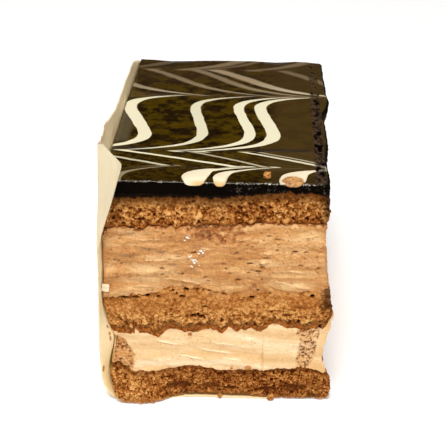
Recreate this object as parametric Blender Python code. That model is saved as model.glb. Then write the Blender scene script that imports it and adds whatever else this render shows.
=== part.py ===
"""A slice of truffle cake on its sheet of greaseproof paper.

Three sheets of cocoa sponge, a light coffee cream and a deep mousse are stacked under a dark glaze. The paper lies
under the slice, turns up along its left side, stands above the glaze there, and its front edge is folded over the
cut face near the top. Each layer is one closed solid that runs through the whole slice.

Metres, +Z up. The cut face, the front of the slice, looks along -Y. The origin is on the surface that the slice
stands on, under the middle of the model. Sizes below are in the slice's own frame, whose Z axis is the middle of
the slice as it was cut; the whole model moves by TO_CENTRE at the end.
"""

import math
from dataclasses import dataclass

import bmesh
import bpy
from mathutils import Vector, noise

# The slice as it was cut.
WIDTH = 0.0620
DEPTH = 0.0950
HEIGHT = 0.0700
CORNER_RADIUS = 0.0013

# The paper it stands on.
PAPER = 0.0004
GAP = 0.0003  # left between neighbouring solids
TO_CENTRE = Vector((-0.000571, 0.001883, 0.0))

# The solids' facets.
ROUND = 120  # points round each layer
CAP_RINGS = (0.0085, 0.0030)  # how far inside the edge the rings on a layer's top and bottom lie


def smooth(value):
    """0 below 0, 1 above 1, and a smooth step between."""
    t = min(1.0, max(0.0, value))
    return t * t * (3 - 2 * t)


def mix(a, b, share):
    return a + (b - a) * share


def along(points, at):
    """The value at a place on a line through (place, value) points."""
    for (a, value_a), (b, value_b) in zip(points, points[1:]):
        if at < b:
            return mix(value_a, value_b, max(0.0, (at - a) / (b - a)))
    return points[-1][1]


# The slice's outline: its left and right edges by height, in front, and how its four sides wander.
LEFT_EDGE = (
    (0.0007, -0.0272), (0.0025, -0.0294), (0.0075, -0.0308), (0.0159, -0.0296), (0.0203, -0.0289),
    (0.0250, -0.0305), (0.0328, -0.0319), (0.0421, -0.0308), (0.0544, -0.0309), (0.0700, -0.0305),
)  # fmt: skip
RIGHT_EDGE = (
    (0.0007, 0.0331), (0.0035, 0.0342), (0.0075, 0.0338), (0.0143, 0.0312), (0.0180, 0.0312),
    (0.0250, 0.0331), (0.0302, 0.0336), (0.0395, 0.0320), (0.0450, 0.0308), (0.0565, 0.0304),
    (0.0621, 0.0310), (0.0700, 0.0308),
)  # fmt: skip
SIDE_WANDER = 0.0007
WANDER_LENGTH = 0.018
BACK_SPREAD = 0.0006  # how much further the glaze's right side stands out in the slice's back half
LEAN = 0.0020  # how far the cut face leans back at the top
BELLY = 0.0007  # how far the mousse stands proud of the line between the sponges, in front
BELLY_Z = 0.047
BELLY_HEIGHT = 0.009
TOE = 0.0046  # how far the lowest sponge is squeezed out, at the front's left corner
TOE_HEIGHT = 0.0115
TOE_X = -0.0080  # where the toe starts
TOE_RUN = 0.0130


def front_edge(x, z):
    """The cut face's Y. It leans back, the mousse is a little full, and the lowest sponge has the toe."""
    toe = TOE * smooth((TOE_X - x) / TOE_RUN) * smooth(1 - z / TOE_HEIGHT)
    belly = BELLY * math.exp(-(((z - BELLY_Z) / BELLY_HEIGHT) ** 2))
    return -DEPTH / 2 + LEAN * (z / HEIGHT) ** 2 - belly - toe


def wall_point(x, y, z, inset):
    """Where a point of the cut rectangle's rim lies at a height, moved in by inset, and its way out."""
    radius = CORNER_RADIUS
    core_x = max(radius - WIDTH / 2, min(WIDTH / 2 - radius, x))
    core_y = max(radius - DEPTH / 2, min(DEPTH / 2 - radius, y))
    core = Vector((core_x, core_y))
    out = (Vector((x, y)) - core).normalized()
    flat = core + radius * out
    across, deep = flat.x / (WIDTH / 2), flat.y / (DEPTH / 2)
    across *= 1 - inset / (WIDTH / 2)
    deep *= 1 - inset / (DEPTH / 2)
    behind = smooth((y + DEPTH / 2) / 0.010)
    wander = SIDE_WANDER * behind * noise.noise(Vector((x, y, z)) / WANDER_LENGTH)
    if across > 0:
        spread = BACK_SPREAD * smooth((y + 0.020) / 0.040) * smooth((z - 0.050) / 0.020)
        place_x = across * (along(RIGHT_EDGE, z) + wander + spread)
    else:
        place_x = -across * (along(LEFT_EDGE, z) + 0.5 * (wander + SIDE_WANDER / 2 * behind))
    if deep < 0:
        place_y = -deep * front_edge(place_x, z)
    else:
        place_y = deep * (DEPTH / 2 + 0.0003 + wander)
    return Vector((place_x, place_y, z)), out


@dataclass(eq=False)
class Seam:
    """Where two layers meet.

    It is at height under the middle of the slice and gains rise from the left side to the right one. Each hump is
    (x, height, half width). They are as the cut face shows them, and give way to wider waves behind it. lip is how
    far the seam climbs at the right edge, where the layer under it was squeezed up.
    """

    height: float
    rise: float = 0.0
    humps: tuple = ()
    lip: float = 0.0


HUMP_REACH = 0.012  # how far behind the cut face the humps reach
WAVE_LENGTH = 0.011
WAVE_HEIGHT = 0.0016
WAVE_REACH = 0.0080  # a seam is level further inside than this
LIP_WIDTH = 0.0024
LIP_WAVE = 0.024

ON_PAPER = Seam(PAPER + GAP / 2)
BOTTOM_TO_CREAM = Seam(
    0.0108, 0.0,
    ((-0.0305, 0.0016, 0.0030), (-0.0225, -0.0022, 0.0045), (-0.0073, 0.0010, 0.0040),
     (0.0100, -0.0009, 0.0050), (0.0240, 0.0012, 0.0060), (0.0320, -0.0008, 0.0020)),
)  # fmt: skip
CREAM_TO_MIDDLE = Seam(
    0.0239, 0.0026,
    ((-0.0290, -0.0008, 0.0030), (-0.0180, -0.0020, 0.0028), (0.0010, -0.0008, 0.0040),
     (0.0098, 0.0012, 0.0022), (0.0130, -0.0009, 0.0014), (0.0175, 0.0022, 0.0024)),
    lip=0.0064,
)  # fmt: skip
MIDDLE_TO_MOUSSE = Seam(
    0.0374, 0.0024,
    ((-0.0312, 0.0002, 0.0020), (-0.0240, -0.0012, 0.0070), (-0.0070, 0.0015, 0.0045),
     (0.0030, -0.0008, 0.0030), (0.0180, 0.0006, 0.0030)),
)  # fmt: skip
MOUSSE_TO_TOP = Seam(
    0.0570, 0.0026,
    ((-0.0318, -0.0018, 0.0016), (0.0050, 0.0007, 0.0040), (0.0130, 0.0006, 0.0040),
     (0.0300, 0.0009, 0.0025)),
)  # fmt: skip
TOP_TO_GLAZE = Seam(
    0.0669, 0.0012,
    ((0.0030, -0.0007, 0.0050), (0.0200, 0.0006, 0.0060), (0.0315, -0.0011, 0.0016)),
)  # fmt: skip
GLAZE_TOP = Seam(HEIGHT)


def seam_height(seam, x, y):
    """The height of a seam over a point of the cut rectangle."""
    z = seam.height + seam.rise * x / WIDTH
    inside = min(WIDTH / 2 - abs(x), DEPTH / 2 - abs(y))
    if seam in (ON_PAPER, GLAZE_TOP) or inside > WAVE_REACH:
        return z
    edge = smooth(1 - inside / WAVE_REACH)
    near = math.exp(-(((y + DEPTH / 2) / HUMP_REACH) ** 2))
    humps = sum(rise * math.exp(-(((x - at) / wide) ** 2)) for at, rise, wide in seam.humps)
    waves = WAVE_HEIGHT * noise.noise(Vector((x, y, 7 * seam.height)) / WAVE_LENGTH)
    lip_y = mix(0.8 + 0.4 * noise.noise(Vector((y, 0, 0)) / LIP_WAVE), 1.0, near)
    lip = seam.lip * lip_y * smooth((x - WIDTH / 2 + LIP_WIDTH) / LIP_WIDTH)
    return z + edge * (mix(waves, humps, near) + lip)


def rim(share):
    """A point on the cut rectangle, share of the way round it from its front left corner."""
    run = share * 2 * (WIDTH + DEPTH)
    if run < WIDTH:
        return run - WIDTH / 2, -DEPTH / 2
    if run < WIDTH + DEPTH:
        return WIDTH / 2, run - WIDTH - DEPTH / 2
    if run < 2 * WIDTH + DEPTH:
        return 1.5 * WIDTH + DEPTH - run, DEPTH / 2
    return -WIDTH / 2, 2 * WIDTH + 1.5 * DEPTH - run


def add_object(name, bm, colour, roughness, smooth_angle):
    """Makes an object of a mesh, with a material of its own."""
    bmesh.ops.translate(bm, verts=bm.verts, vec=TO_CENTRE)
    mesh = bpy.data.meshes.new(name)
    bm.to_mesh(mesh)
    bm.free()
    mesh.shade_smooth()
    mesh.set_sharp_from_angle(angle=math.radians(smooth_angle))
    material = bpy.data.materials.new(name)
    material.use_nodes = True
    shader = material.node_tree.nodes["Principled BSDF"]
    shader.inputs["Base Color"].default_value = (*colour, 1)
    shader.inputs["Roughness"].default_value = roughness
    shader.inputs["Metallic"].default_value = 0
    mesh.materials.append(material)
    obj = bpy.data.objects.new(name, mesh)
    bpy.context.collection.objects.link(obj)
    return obj


def add_layer(name, lower, upper, rows, crag, colour, roughness, rim_radius=None):
    """Makes a layer between two seams.

    Its wall has rows steps, and hollows up to crag deep in it. rim_radius(x) rounds its upper edge.
    """
    level = [(ring, 0.0, 0.0) for ring in CAP_RINGS] + [(0.0, i / rows, 0.0) for i in range(rows + 1)]
    if rim_radius:
        level += [(0.0, 1.0, math.radians(45))]
    level += [(ring, 1.0, math.pi / 2) for ring in reversed((*CAP_RINGS, 0.0) if rim_radius else CAP_RINGS)]

    bm = bmesh.new()
    bmesh.ops.create_cone(bm, cap_ends=True, segments=ROUND, radius1=1, radius2=1, depth=1)
    upright = [edge for edge in bm.edges if edge.verts[0].co.z != edge.verts[1].co.z]
    bmesh.ops.subdivide_edges(bm, edges=upright, cuts=len(level) - 2, use_grid_fill=True)
    for vert in bm.verts:
        inset, share, turn = level[round((vert.co.z + 0.5) * (len(level) - 1))]
        x, y = rim(math.atan2(vert.co.y, vert.co.x) / math.tau % 1)
        radius = rim_radius(x) if rim_radius else 0.0
        shrink_x, shrink_y = 1 - 2 * inset / WIDTH, 1 - 2 * inset / DEPTH
        low = seam_height(lower, x * shrink_x, y * shrink_y) + GAP / 2
        high = seam_height(upper, x * shrink_x, y * shrink_y) - (0 if upper is GLAZE_TOP else GAP / 2)
        z = mix(low, high - radius, share) + radius * math.sin(turn)
        place, out = wall_point(x, y, z, inset + radius * (1 - math.cos(turn)))
        hollow = 0.0
        if crag and inset == 0:
            hollow = crag * math.sin(math.pi * share) * (0.5 + 0.5 * noise.noise(place / (4 * crag)))
        vert.co = place - hollow * out.to_3d()
    quads = [face for face in bm.faces if len(face.verts) == 4]
    bmesh.ops.triangulate(bm, faces=quads, quad_method="SHORT_EDGE")  # neighbours share their diagonals
    return add_object(name, bm, colour, roughness, 50)


# The glaze's rim: sharp in front, and a rounded shoulder down the right side.
RIM_RADIUS = 0.0007
SHOULDER_RADIUS = 0.0016
SHOULDER_X = 0.0255

# The three thick drops of white icing at the glaze's front edge: (x, half length, half depth).
DROPS = ((-0.0055, 0.0033, 0.0022), (0.0014, 0.0019, 0.0018), (0.0210, 0.0034, 0.0023))
DROP_Y = -0.0434
DROP_HALF_HEIGHT = 0.0011


def glaze_rim(x):
    return mix(RIM_RADIUS, SHOULDER_RADIUS, smooth((x - SHOULDER_X) / (WIDTH / 2 - SHOULDER_X)))


def add_glaze():
    """The glaze, with the drops of icing that stand up from it as part of the same solid."""
    glaze = add_layer("glaze", TOP_TO_GLAZE, GLAZE_TOP, 2, 0.0, (0.020, 0.010, 0.003), 0.12, glaze_rim)
    helpers = bpy.data.collections.new("icing_drops")
    for x, half_length, half_depth in DROPS:
        bm = bmesh.new()
        bmesh.ops.create_uvsphere(bm, u_segments=14, v_segments=8, radius=1)
        bmesh.ops.scale(bm, verts=bm.verts, vec=(half_length, half_depth, DROP_HALF_HEIGHT))
        bmesh.ops.translate(bm, verts=bm.verts, vec=(x, DROP_Y, HEIGHT + 0.0001))
        drop = add_object("icing_drop", bm, (0.8, 0.7, 0.5), 0.4, 50)
        bpy.context.collection.objects.unlink(drop)
        helpers.objects.link(drop)
    union = glaze.modifiers.new("icing", "BOOLEAN")
    union.operation = "UNION"
    union.operand_type = "COLLECTION"
    union.collection = helpers
    union.solver = "MANIFOLD"
    bpy.context.view_layer.update()
    joined = bpy.data.meshes.new_from_object(glaze.evaluated_get(bpy.context.evaluated_depsgraph_get()))
    glaze.modifiers.remove(union)
    glaze.data = joined
    for drop in list(helpers.objects):
        bpy.data.objects.remove(drop)
    bpy.data.collections.remove(helpers)


# The paper's way across the slice: flat under it, round the lower left corner, and up the side.
PAPER_RIGHT = 0.0325
BEND_X = -0.0264
BEND_WIDTH = 0.0065
BEND_HEIGHT = 0.0100
WALL_EDGE = ((0.0100, -0.0329), (0.0200, -0.0330), (0.0322, -0.0327), (0.0580, -0.0318), (0.0830, -0.0306))
PAPER_FRONT = -0.0479
PAPER_FRONT_LEFT = -0.0503  # its edge stands further out along the left side
PAPER_BACK = 0.0482
# How far it stands above the glaze, by the distance from its front edge.
STAND = (
    (0.0000, 0.0129), (0.0066, 0.0103), (0.0125, 0.0084), (0.0290, 0.0074), (0.0440, 0.0054),
    (0.0680, 0.0052), (0.0820, 0.0052), (0.0950, 0.0006), (0.0990, -0.0010),
)  # fmt: skip
# The fold over the cut face: how wide it is, by height.
FOLD = ((0.0500, 0.0000), (0.0766, 0.0063), (0.0835, 0.0008))
FOLD_WAY = Vector((0.988, 0.155, 0.0))
NIP = 0.0007  # how far the standing edge bends in towards the fold
BASE_STEPS, BEND_STEPS, WALL_STEPS, DEPTH_STEPS, FOLD_STEPS = 4, 5, 11, 13, 2


def paper_point(step, back):
    """The paper's outer face: step runs across from its right edge, and back from its front edge, 0 to 1."""
    on_base, on_bend = step / BASE_STEPS, (step - BASE_STEPS) / BEND_STEPS
    on_wall = (step - BASE_STEPS - BEND_STEPS) / WALL_STEPS
    left = smooth(on_base)
    y = mix(mix(PAPER_FRONT, PAPER_FRONT_LEFT, left), PAPER_BACK, back)
    if on_bend < 0:
        return Vector((mix(PAPER_RIGHT, BEND_X, on_base), y, 0.0))
    if on_wall < 0:
        turn = on_bend * math.pi / 2
        x, z = BEND_X - BEND_WIDTH * math.sin(turn), BEND_HEIGHT * (1 - math.cos(turn))
        return Vector((x, y, z))
    stand = along(STAND, y - PAPER_FRONT_LEFT)
    z = mix(BEND_HEIGHT, HEIGHT + stand, on_wall)
    nip = NIP * smooth((z - 0.050) / 0.020) * smooth(1 - (y - PAPER_FRONT_LEFT) / 0.004)
    return Vector((along(WALL_EDGE, z) + nip, y, z))


def add_paper():
    """The sheet of paper: a grid laid along its way across the slice, and thickened inwards."""
    across, deep = BASE_STEPS + BEND_STEPS + WALL_STEPS, DEPTH_STEPS + FOLD_STEPS
    bm = bmesh.new()
    bmesh.ops.create_grid(bm, x_segments=across, y_segments=deep, size=0.5)
    for vert in bm.verts:
        step, row = round((vert.co.x + 0.5) * across), round((vert.co.y + 0.5) * deep)
        place = paper_point(step, max(0, row - FOLD_STEPS) / DEPTH_STEPS)
        on_fold = max(0, FOLD_STEPS - row) / FOLD_STEPS
        vert.co = place + along(FOLD, place.z) * on_fold * FOLD_WAY
    bmesh.ops.remove_doubles(bm, verts=bm.verts, dist=0.00002)
    bmesh.ops.solidify(bm, geom=bm.faces, thickness=PAPER)
    bmesh.ops.recalc_face_normals(bm, faces=bm.faces)
    return add_object("paper", bm, (0.80, 0.66, 0.44), 0.7, 40)


for old in list(bpy.data.objects):
    bpy.data.objects.remove(old)

SPONGE = (0.26, 0.13, 0.05)
add_paper()
add_layer("bottom_sponge", ON_PAPER, BOTTOM_TO_CREAM, 4, 0.0007, SPONGE, 0.9)
add_layer("coffee_cream", BOTTOM_TO_CREAM, CREAM_TO_MIDDLE, 4, 0.0, (0.72, 0.50, 0.27), 0.55)
add_layer("middle_sponge", CREAM_TO_MIDDLE, MIDDLE_TO_MOUSSE, 4, 0.0007, SPONGE, 0.9)
add_layer("mousse", MIDDLE_TO_MOUSSE, MOUSSE_TO_TOP, 6, 0.0, (0.55, 0.33, 0.17), 0.6)
add_layer("top_sponge", MOUSSE_TO_TOP, TOP_TO_GLAZE, 4, 0.0007, SPONGE, 0.9)
add_glaze()
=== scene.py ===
"""The looks of a slice of truffle cake on its sheet of greaseproof paper.

Metres, +Z up. Sizes and places are in the slice's own frame, whose Z axis is the middle of the slice as it was
cut. A finished mesh moves by TO_CENTRE into the frame of the solids. Lists of small features, reliefs and
materials have places in that same slice frame, in millimetres.
"""

import math
from dataclasses import dataclass

import bmesh
import bpy
from mathutils import Color, Matrix, Vector, noise


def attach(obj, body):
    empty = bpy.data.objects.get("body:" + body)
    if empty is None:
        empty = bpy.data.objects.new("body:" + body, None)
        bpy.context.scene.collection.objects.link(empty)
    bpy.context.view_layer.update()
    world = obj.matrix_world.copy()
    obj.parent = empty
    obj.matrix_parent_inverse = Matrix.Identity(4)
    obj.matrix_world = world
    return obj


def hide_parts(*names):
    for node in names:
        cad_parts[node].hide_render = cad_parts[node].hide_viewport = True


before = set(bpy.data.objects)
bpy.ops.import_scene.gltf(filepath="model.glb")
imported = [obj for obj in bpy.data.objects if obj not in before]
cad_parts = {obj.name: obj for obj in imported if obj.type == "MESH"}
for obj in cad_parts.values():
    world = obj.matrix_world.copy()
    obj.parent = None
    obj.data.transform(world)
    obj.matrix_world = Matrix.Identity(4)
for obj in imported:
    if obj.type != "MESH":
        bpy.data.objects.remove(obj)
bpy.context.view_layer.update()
noise.seed_set(1)  # noise_vector starts from it

# ---- The paper -------------------------------------------------------------------------------------------
# One sheet of greaseproof paper. It lies under the slice, turns up along its left side and stands above the
# glaze, and its front edge is folded over the cut face near the top. A toothed blade cut it, it is a little
# wavy, and it has taken up fat and cocoa from the cake.
MM = 0.001
HEIGHT = 0.0700  # of the slice
TO_CENTRE = Vector((-0.000571, 0.001883, 0.0))

PAPER = 0.0004  # the solid's thickness, which the cake stands on
SHEET = 0.00026
PAPER_RIGHT = 0.0325
BEND_X = -0.0264
BEND_HEIGHT = 0.0100
# The outer face's X at heights up its left side: against the cake, and at its free front edge.
HUG_EDGE = (
    (0.0100, -0.0313), (0.0120, -0.0311), (0.0145, -0.0305), (0.0175, -0.0297), (0.0203, -0.0293),
    (0.0225, -0.0298), (0.0250, -0.0308), (0.0290, -0.0319), (0.0328, -0.0323),
    (0.0421, -0.0315), (0.0544, -0.0314), (0.0700, -0.0309), (0.0830, -0.0304),
)  # fmt: skip
FREE_EDGE = (
    (0.0100, -0.0330), (0.0200, -0.0331), (0.0322, -0.0326),
    (0.0440, -0.0321), (0.0580, -0.0318), (0.0830, -0.0306),
)  # fmt: skip
LEAN = 0.0020  # how far the cut face leans back at the top
HUG_Y = -0.0464  # in front of this, and of the lean, the paper stands off the cake
PAPER_FRONT_LEFT = -0.0503
PAPER_FRONT = (
    (-0.0264, PAPER_FRONT_LEFT), (-0.0200, -0.0495), (-0.0120, -0.0484), (-0.0060, -0.0480),
    (0.0100, -0.0480), (0.0150, -0.0478), (0.0190, -0.0466), (0.0325, -0.0464),
)  # fmt: skip
# Where the front edge lifts off the table, by X, and how far in that reaches.
CURL = ((-0.0130, 0.0), (-0.0060, 0.0004), (0.0100, 0.0004), (0.0160, 0.0))
CURL_DEPTH = 0.0016
PAPER_BACK = 0.0482
# How far it stands above the glaze, by the distance from its front edge.
STAND = (
    (0.0000, 0.0129), (0.0066, 0.0103), (0.0125, 0.0084), (0.0290, 0.0074), (0.0440, 0.0054),
    (0.0680, 0.0052), (0.0820, 0.0052), (0.0950, 0.0006), (0.0990, -0.0010),
)  # fmt: skip
FOLD = ((0.0500, 0.0000), (0.0766, 0.0063), (0.0835, 0.0008))  # how wide the fold is, by height
FOLD_WAY = Vector((0.988, 0.155, 0.0))
NIP = 0.0007  # how far the standing edge bends in towards the fold
NIP_Z, NIP_RISE, NIP_DEPTH = 0.050, 0.020, 0.004  # from what height, over how much of it, and how far back
FREE_Z, FREE_RISE = HEIGHT - 0.002, 0.004  # from here the paper stands free and ripples
TOOTH = 0.0004  # of the cut edge
# How far the part above the glaze leans out, by Y.
FLARE = (
    (-0.0503, 0.0), (-0.0480, -0.0001), (-0.0460, -0.0001), (-0.0400, 0.0005), (-0.0350, 0.0009),
    (-0.0260, 0.0013), (-0.0190, 0.0010), (-0.0110, 0.0004), (-0.0050, 0.0004), (0.0070, 0.0009),
    (0.0140, 0.0008), (0.0230, 0.0005), (0.0320, 0.0002), (0.0480, 0.0),
)  # fmt: skip
FLARE_Z, FLARE_HEIGHT = 0.0675, 0.0090
RIPPLE = 0.0005
RIPPLE_LENGTH = 0.013
FLUTE, FLUTE_LENGTH = 0.1, 0.008  # how wavy the fold is, as a share of its width
SAME = 0.00002  # points closer than this are one: the fold has no width at its ends
BASE_STEPS, BEND_STEPS, WALL_STEPS, DEPTH_STEPS, FOLD_STEPS = 24, 16, 72, 190, 10


def smooth(value):
    """0 below 0, 1 above 1, and a smooth step between."""
    t = min(1.0, max(0.0, value))
    return t * t * (3 - 2 * t)


def mix(a, b, share):
    return a + (b - a) * share


def along(points, at):
    """The value at a place on a line through (place, value) points."""
    for (a, value_a), (b, value_b) in zip(points, points[1:]):
        if at < b:
            return mix(value_a, value_b, max(0.0, (at - a) / (b - a)))
    return points[-1][1]


def tone(*display):
    """A colour, given as a screen shows it, 0 to 255."""
    return (*Color([value / 255 for value in display]).from_srgb_to_scene_linear(), 1)


class Wire:
    """A value in a material. Sums with it become Math nodes."""

    def __init__(self, finish, socket):
        self.finish = finish
        self.socket = socket

    def math(self, operation, *others):
        return self.finish.node("Math", {"operation": operation}, dict(enumerate((self, *others))))

    def __add__(self, other):
        return self.math("ADD", other)

    def __sub__(self, other):
        return self.math("SUBTRACT", other)

    def __rsub__(self, other):
        return self.math("MULTIPLY_ADD", -1.0, other)

    def __mul__(self, other):
        return self.math("MULTIPLY", other)

    def __truediv__(self, other):
        return self.math("DIVIDE", other)

    def __neg__(self):
        return self.math("MULTIPLY", -1.0)

    def __abs__(self):
        return self.math("ABSOLUTE")

    __radd__ = __add__

    def step(self, start, end):
        """0 at start and 1 at end, with a smooth step between. The end may be the lower one."""
        kind = {"interpolation_type": "SMOOTHSTEP"}
        return self.finish.node("MapRange", kind, {"Value": self, "From Min": start, "From Max": end})

    def squared(self):
        return self.math("POWER", 2)

    def most(self, other):
        return self.math("MAXIMUM", other)


class Finish:
    """A material in the making. x, y and z are a point's place in the slice's frame, in millimetres."""

    def __init__(self, name, **constants):
        self.material = bpy.data.materials.new(name)
        self.material.use_nodes = True
        self.shader = self.material.node_tree.nodes["Principled BSDF"]
        for socket, value in constants.items():
            self.shader.inputs[socket.replace("_", " ")].default_value = value
        place = {"Vector": self.node("TexCoord", output="Object"), "Location": -TO_CENTRE / MM}
        self.place = self.node("Mapping", {}, {**place, "Scale": (1 / MM,) * 3})
        self.x, self.y, self.z = (self.node("SeparateXYZ", {}, {0: self.place}, axis) for axis in "XYZ")

    def node(self, kind, settings=(), sockets=(), output=0):
        """Adds a node with its settings, then the values or links of its sockets."""
        made = self.material.node_tree.nodes.new("ShaderNode" + kind)
        for name, value in dict(settings).items():
            if name == "stops":
                for i, (at, colour) in enumerate(value):
                    stop = made.color_ramp.elements.new(at) if i > 1 else made.color_ramp.elements[i]
                    stop.position = at
                    stop.color = colour
            else:
                setattr(made, name, value)
        for name, value in dict(sockets).items():
            self.join(value, made.inputs[name])
        return Wire(self, made.outputs[output])

    def join(self, value, socket):
        if isinstance(value, Wire):
            self.material.node_tree.links.new(value.socket, socket)
        else:
            socket.default_value = value

    def grain(self, size, stretch=(1, 1, 1), detail=2.0, at=0.0, rough=0.5):
        """Soft noise of a size in millimetres, longer along each axis by stretch. It lies round 0.5."""
        scale = [1 / (size * long) for long in stretch]
        spot = self.node("Mapping", {}, {"Vector": self.place, "Scale": scale, "Location": (at, 0, 0)})
        return self.node("TexNoise", {}, {"Vector": spot, "Scale": 1.0, "Detail": detail, "Roughness": rough})

    def swirl(self, size):
        """Noise that is a vector round 0, for bending a pattern."""
        soft = {"Vector": self.place, "Scale": 1 / size, "Detail": 1.0}
        colour = self.node("TexNoise", {}, soft, "Color")
        return self.node("VectorMath", {"operation": "SUBTRACT"}, {0: colour, 1: (0.5,) * 3})

    def cells(self, place, size):
        """A random value for each of the cells that the surface is broken into."""
        colour = self.node("TexVoronoi", {}, {"Vector": place, "Scale": 1 / size}, "Color")
        return self.node("SeparateColor", {}, {0: colour})

    def near(self, across, high, half_across, half_high):
        """1 in the middle of an ellipse of the cut face, fading to 0 round it."""
        reach = ((self.x - across) / half_across).squared() + ((self.z - high) / half_high).squared()
        return reach.step(1.9, 0.1)

    def attribute(self, name):
        return self.node("Attribute", {"attribute_name": name}, output="Fac")

    def ramp(self, share, *stops):
        return self.node("ValToRGB", {"stops": stops}, {"Fac": share})

    def blend(self, share, under, over):
        """Colour over on colour under, by share."""
        return self.node("Mix", {"data_type": "RGBA"}, {0: share, 6: under, 7: over}, 2)

    def paint(self, colour, roughness=None, height=None, depth=0.0):
        """Feeds the shader, with a bump from height, which is depth millimetres from 0 to 1."""
        self.join(colour, self.shader.inputs["Base Color"])
        if roughness is not None:
            self.join(roughness, self.shader.inputs["Roughness"])
        if height is not None:
            bump = self.node("Bump", {}, {"Height": height, "Distance": depth * MM}, "Normal")
            self.join(bump, self.shader.inputs["Normal"])
        return self.material


def add_piece(name, bm, material, replaced=(), sharp=60):
    """Makes a piece of a mesh in the slice's frame."""
    bmesh.ops.translate(bm, verts=bm.verts, vec=TO_CENTRE)
    mesh = bpy.data.meshes.new(name)
    bm.to_mesh(mesh)
    bm.free()
    mesh.shade_smooth()
    mesh.set_sharp_from_angle(angle=math.radians(sharp))
    mesh.materials.append(material)
    piece = bpy.data.objects.new(name, mesh)
    bpy.context.scene.collection.objects.link(piece)
    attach(piece, "root")
    if replaced:
        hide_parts(*replaced)
    return piece


def paper_side(y, z):
    """The X of the paper's outer face on its left side."""
    hug_y = HUG_Y + LEAN * (z / HEIGHT) ** 2
    off = max(0.0, (hug_y - y) / (hug_y - PAPER_FRONT_LEFT)) ** 1.2
    nip = NIP * smooth((z - NIP_Z) / NIP_RISE) * smooth(1 - (y - PAPER_FRONT_LEFT) / NIP_DEPTH)
    return mix(along(HUG_EDGE, z), along(FREE_EDGE, z), off) + nip


def paper_point(step, back):
    """The paper's outer face: step runs across from its right edge, and back from its front edge, 0 to 1."""
    on_base, on_bend = step / BASE_STEPS, (step - BASE_STEPS) / BEND_STEPS
    on_wall = (step - BASE_STEPS - BEND_STEPS) / WALL_STEPS
    x = mix(PAPER_RIGHT, BEND_X, min(1.0, on_base))
    y = mix(along(PAPER_FRONT, x), PAPER_BACK, back)
    if on_bend < 0:
        return Vector((x, y, along(CURL, x) * smooth(1 - (y - along(PAPER_FRONT, x)) / CURL_DEPTH)))
    if on_wall < 0:
        turn = on_bend * math.pi / 2
        width = BEND_X - paper_side(y, BEND_HEIGHT)
        return Vector((BEND_X - width * math.sin(turn), y, BEND_HEIGHT * (1 - math.cos(turn))))
    z = mix(BEND_HEIGHT, HEIGHT + along(STAND, y - PAPER_FRONT_LEFT), on_wall)
    return Vector((paper_side(y, z) - along(FLARE, y) * smooth((z - FLARE_Z) / FLARE_HEIGHT), y, z))


across, deep = BASE_STEPS + BEND_STEPS + WALL_STEPS, DEPTH_STEPS + FOLD_STEPS
bm = bmesh.new()
bmesh.ops.create_grid(bm, x_segments=across, y_segments=deep, size=0.5)
for vert in bm.verts:
    step, row = round((vert.co.x + 0.5) * across), round((vert.co.y + 0.5) * deep)
    place = paper_point(step, max(0, row - FOLD_STEPS) / DEPTH_STEPS)
    on_fold = max(0, FOLD_STEPS - row) / FOLD_STEPS
    free = smooth((place.z - FREE_Z) / FREE_RISE)
    bulge = RIPPLE * noise.noise(Vector((0, place.y, 0.5 * place.z)) / RIPPLE_LENGTH)
    width = along(FOLD, place.z) * on_fold
    flute = FLUTE * width * noise.noise(Vector((on_fold, 0, place.z)) / FLUTE_LENGTH)
    vert.co = place + width * FOLD_WAY + Vector((free * bulge, flute, 0))
    if step == across and row % 2:
        vert.co.z -= TOOTH
bmesh.ops.remove_doubles(bm, verts=bm.verts, dist=SAME)
bmesh.ops.reverse_faces(bm, faces=bm.faces)

greaseproof = Finish(
    "greaseproof_paper", Roughness=0.6, Specular_IOR_Level=0.2,
    Subsurface_Weight=0.8, Subsurface_Radius=(1.0, 0.85, 0.65), Subsurface_Scale=0.0008,
)  # fmt: skip
# Cocoa that rubbed off on the strip in front of the cake and near the top: (Y, Z, half width, half height).
SMEARS = (
    (-49.6, 10.8, 0.5, 1.1), (-47.6, 21.9, 0.35, 0.6), (-47.7, 20.2, 0.3, 0.9), (-47.5, 24.2, 0.3, 0.6),
    (-43.2, 80.2, 3.2, 0.8), (-36.5, 78.4, 2.4, 0.6), (-25.0, 77.6, 3.0, 0.4),
)  # fmt: skip
fibre = greaseproof.grain(0.35, (1, 3, 3), 4.0)
greasy = greaseproof.grain(7.0, (1, 2, 1)).step(0.42, 0.62)
low = greaseproof.z.step(34, 4)
rubbed = greaseproof.grain(2.2, (1, 5, 1), 3.0, 4.0).step(0.52, 0.68) * 0.55
rubbed = rubbed * greaseproof.z.step(69, 73) * greaseproof.y.step(-48.5, -46)
paper_colour = greaseproof.blend(greasy * 0.25, tone(233, 215, 184), tone(226, 203, 166))
# Paler and more yellow low down, from the mask low: partly the sheet's fat-soaked tint, partly painted light
# through the paper that lifts the shade where it stands close to the cake.
paper_colour = greaseproof.blend(low * 0.75, paper_colour, tone(246, 212, 162))
paper_colour = greaseproof.blend(rubbed, paper_colour, tone(186, 160, 120))
fibrous = (greaseproof.grain(0.6, (1, 2, 2), 3.0) - 0.3) * 0.4
paper_colour = greaseproof.blend(fibrous, paper_colour, tone(222, 190, 140))
for y, z, half_width, half_height in SMEARS:
    reach = ((greaseproof.y - y) / half_width).squared() + ((greaseproof.z - z) / half_height).squared()
    cocoa = (reach + (fibre - 0.5) * 1.5).step(1.3, 0.7)
    paper_colour = greaseproof.blend(cocoa * 0.85, paper_colour, tone(172, 104, 48))
greaseproof.paint(paper_colour, None, fibre, 0.06)
sheet = add_piece("greaseproof_sheet", bm, greaseproof.material, ["paper"], 50)
thickness = sheet.modifiers.new("thickness", "SOLIDIFY")
thickness.thickness = SHEET
thickness.offset = 1.0

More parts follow.
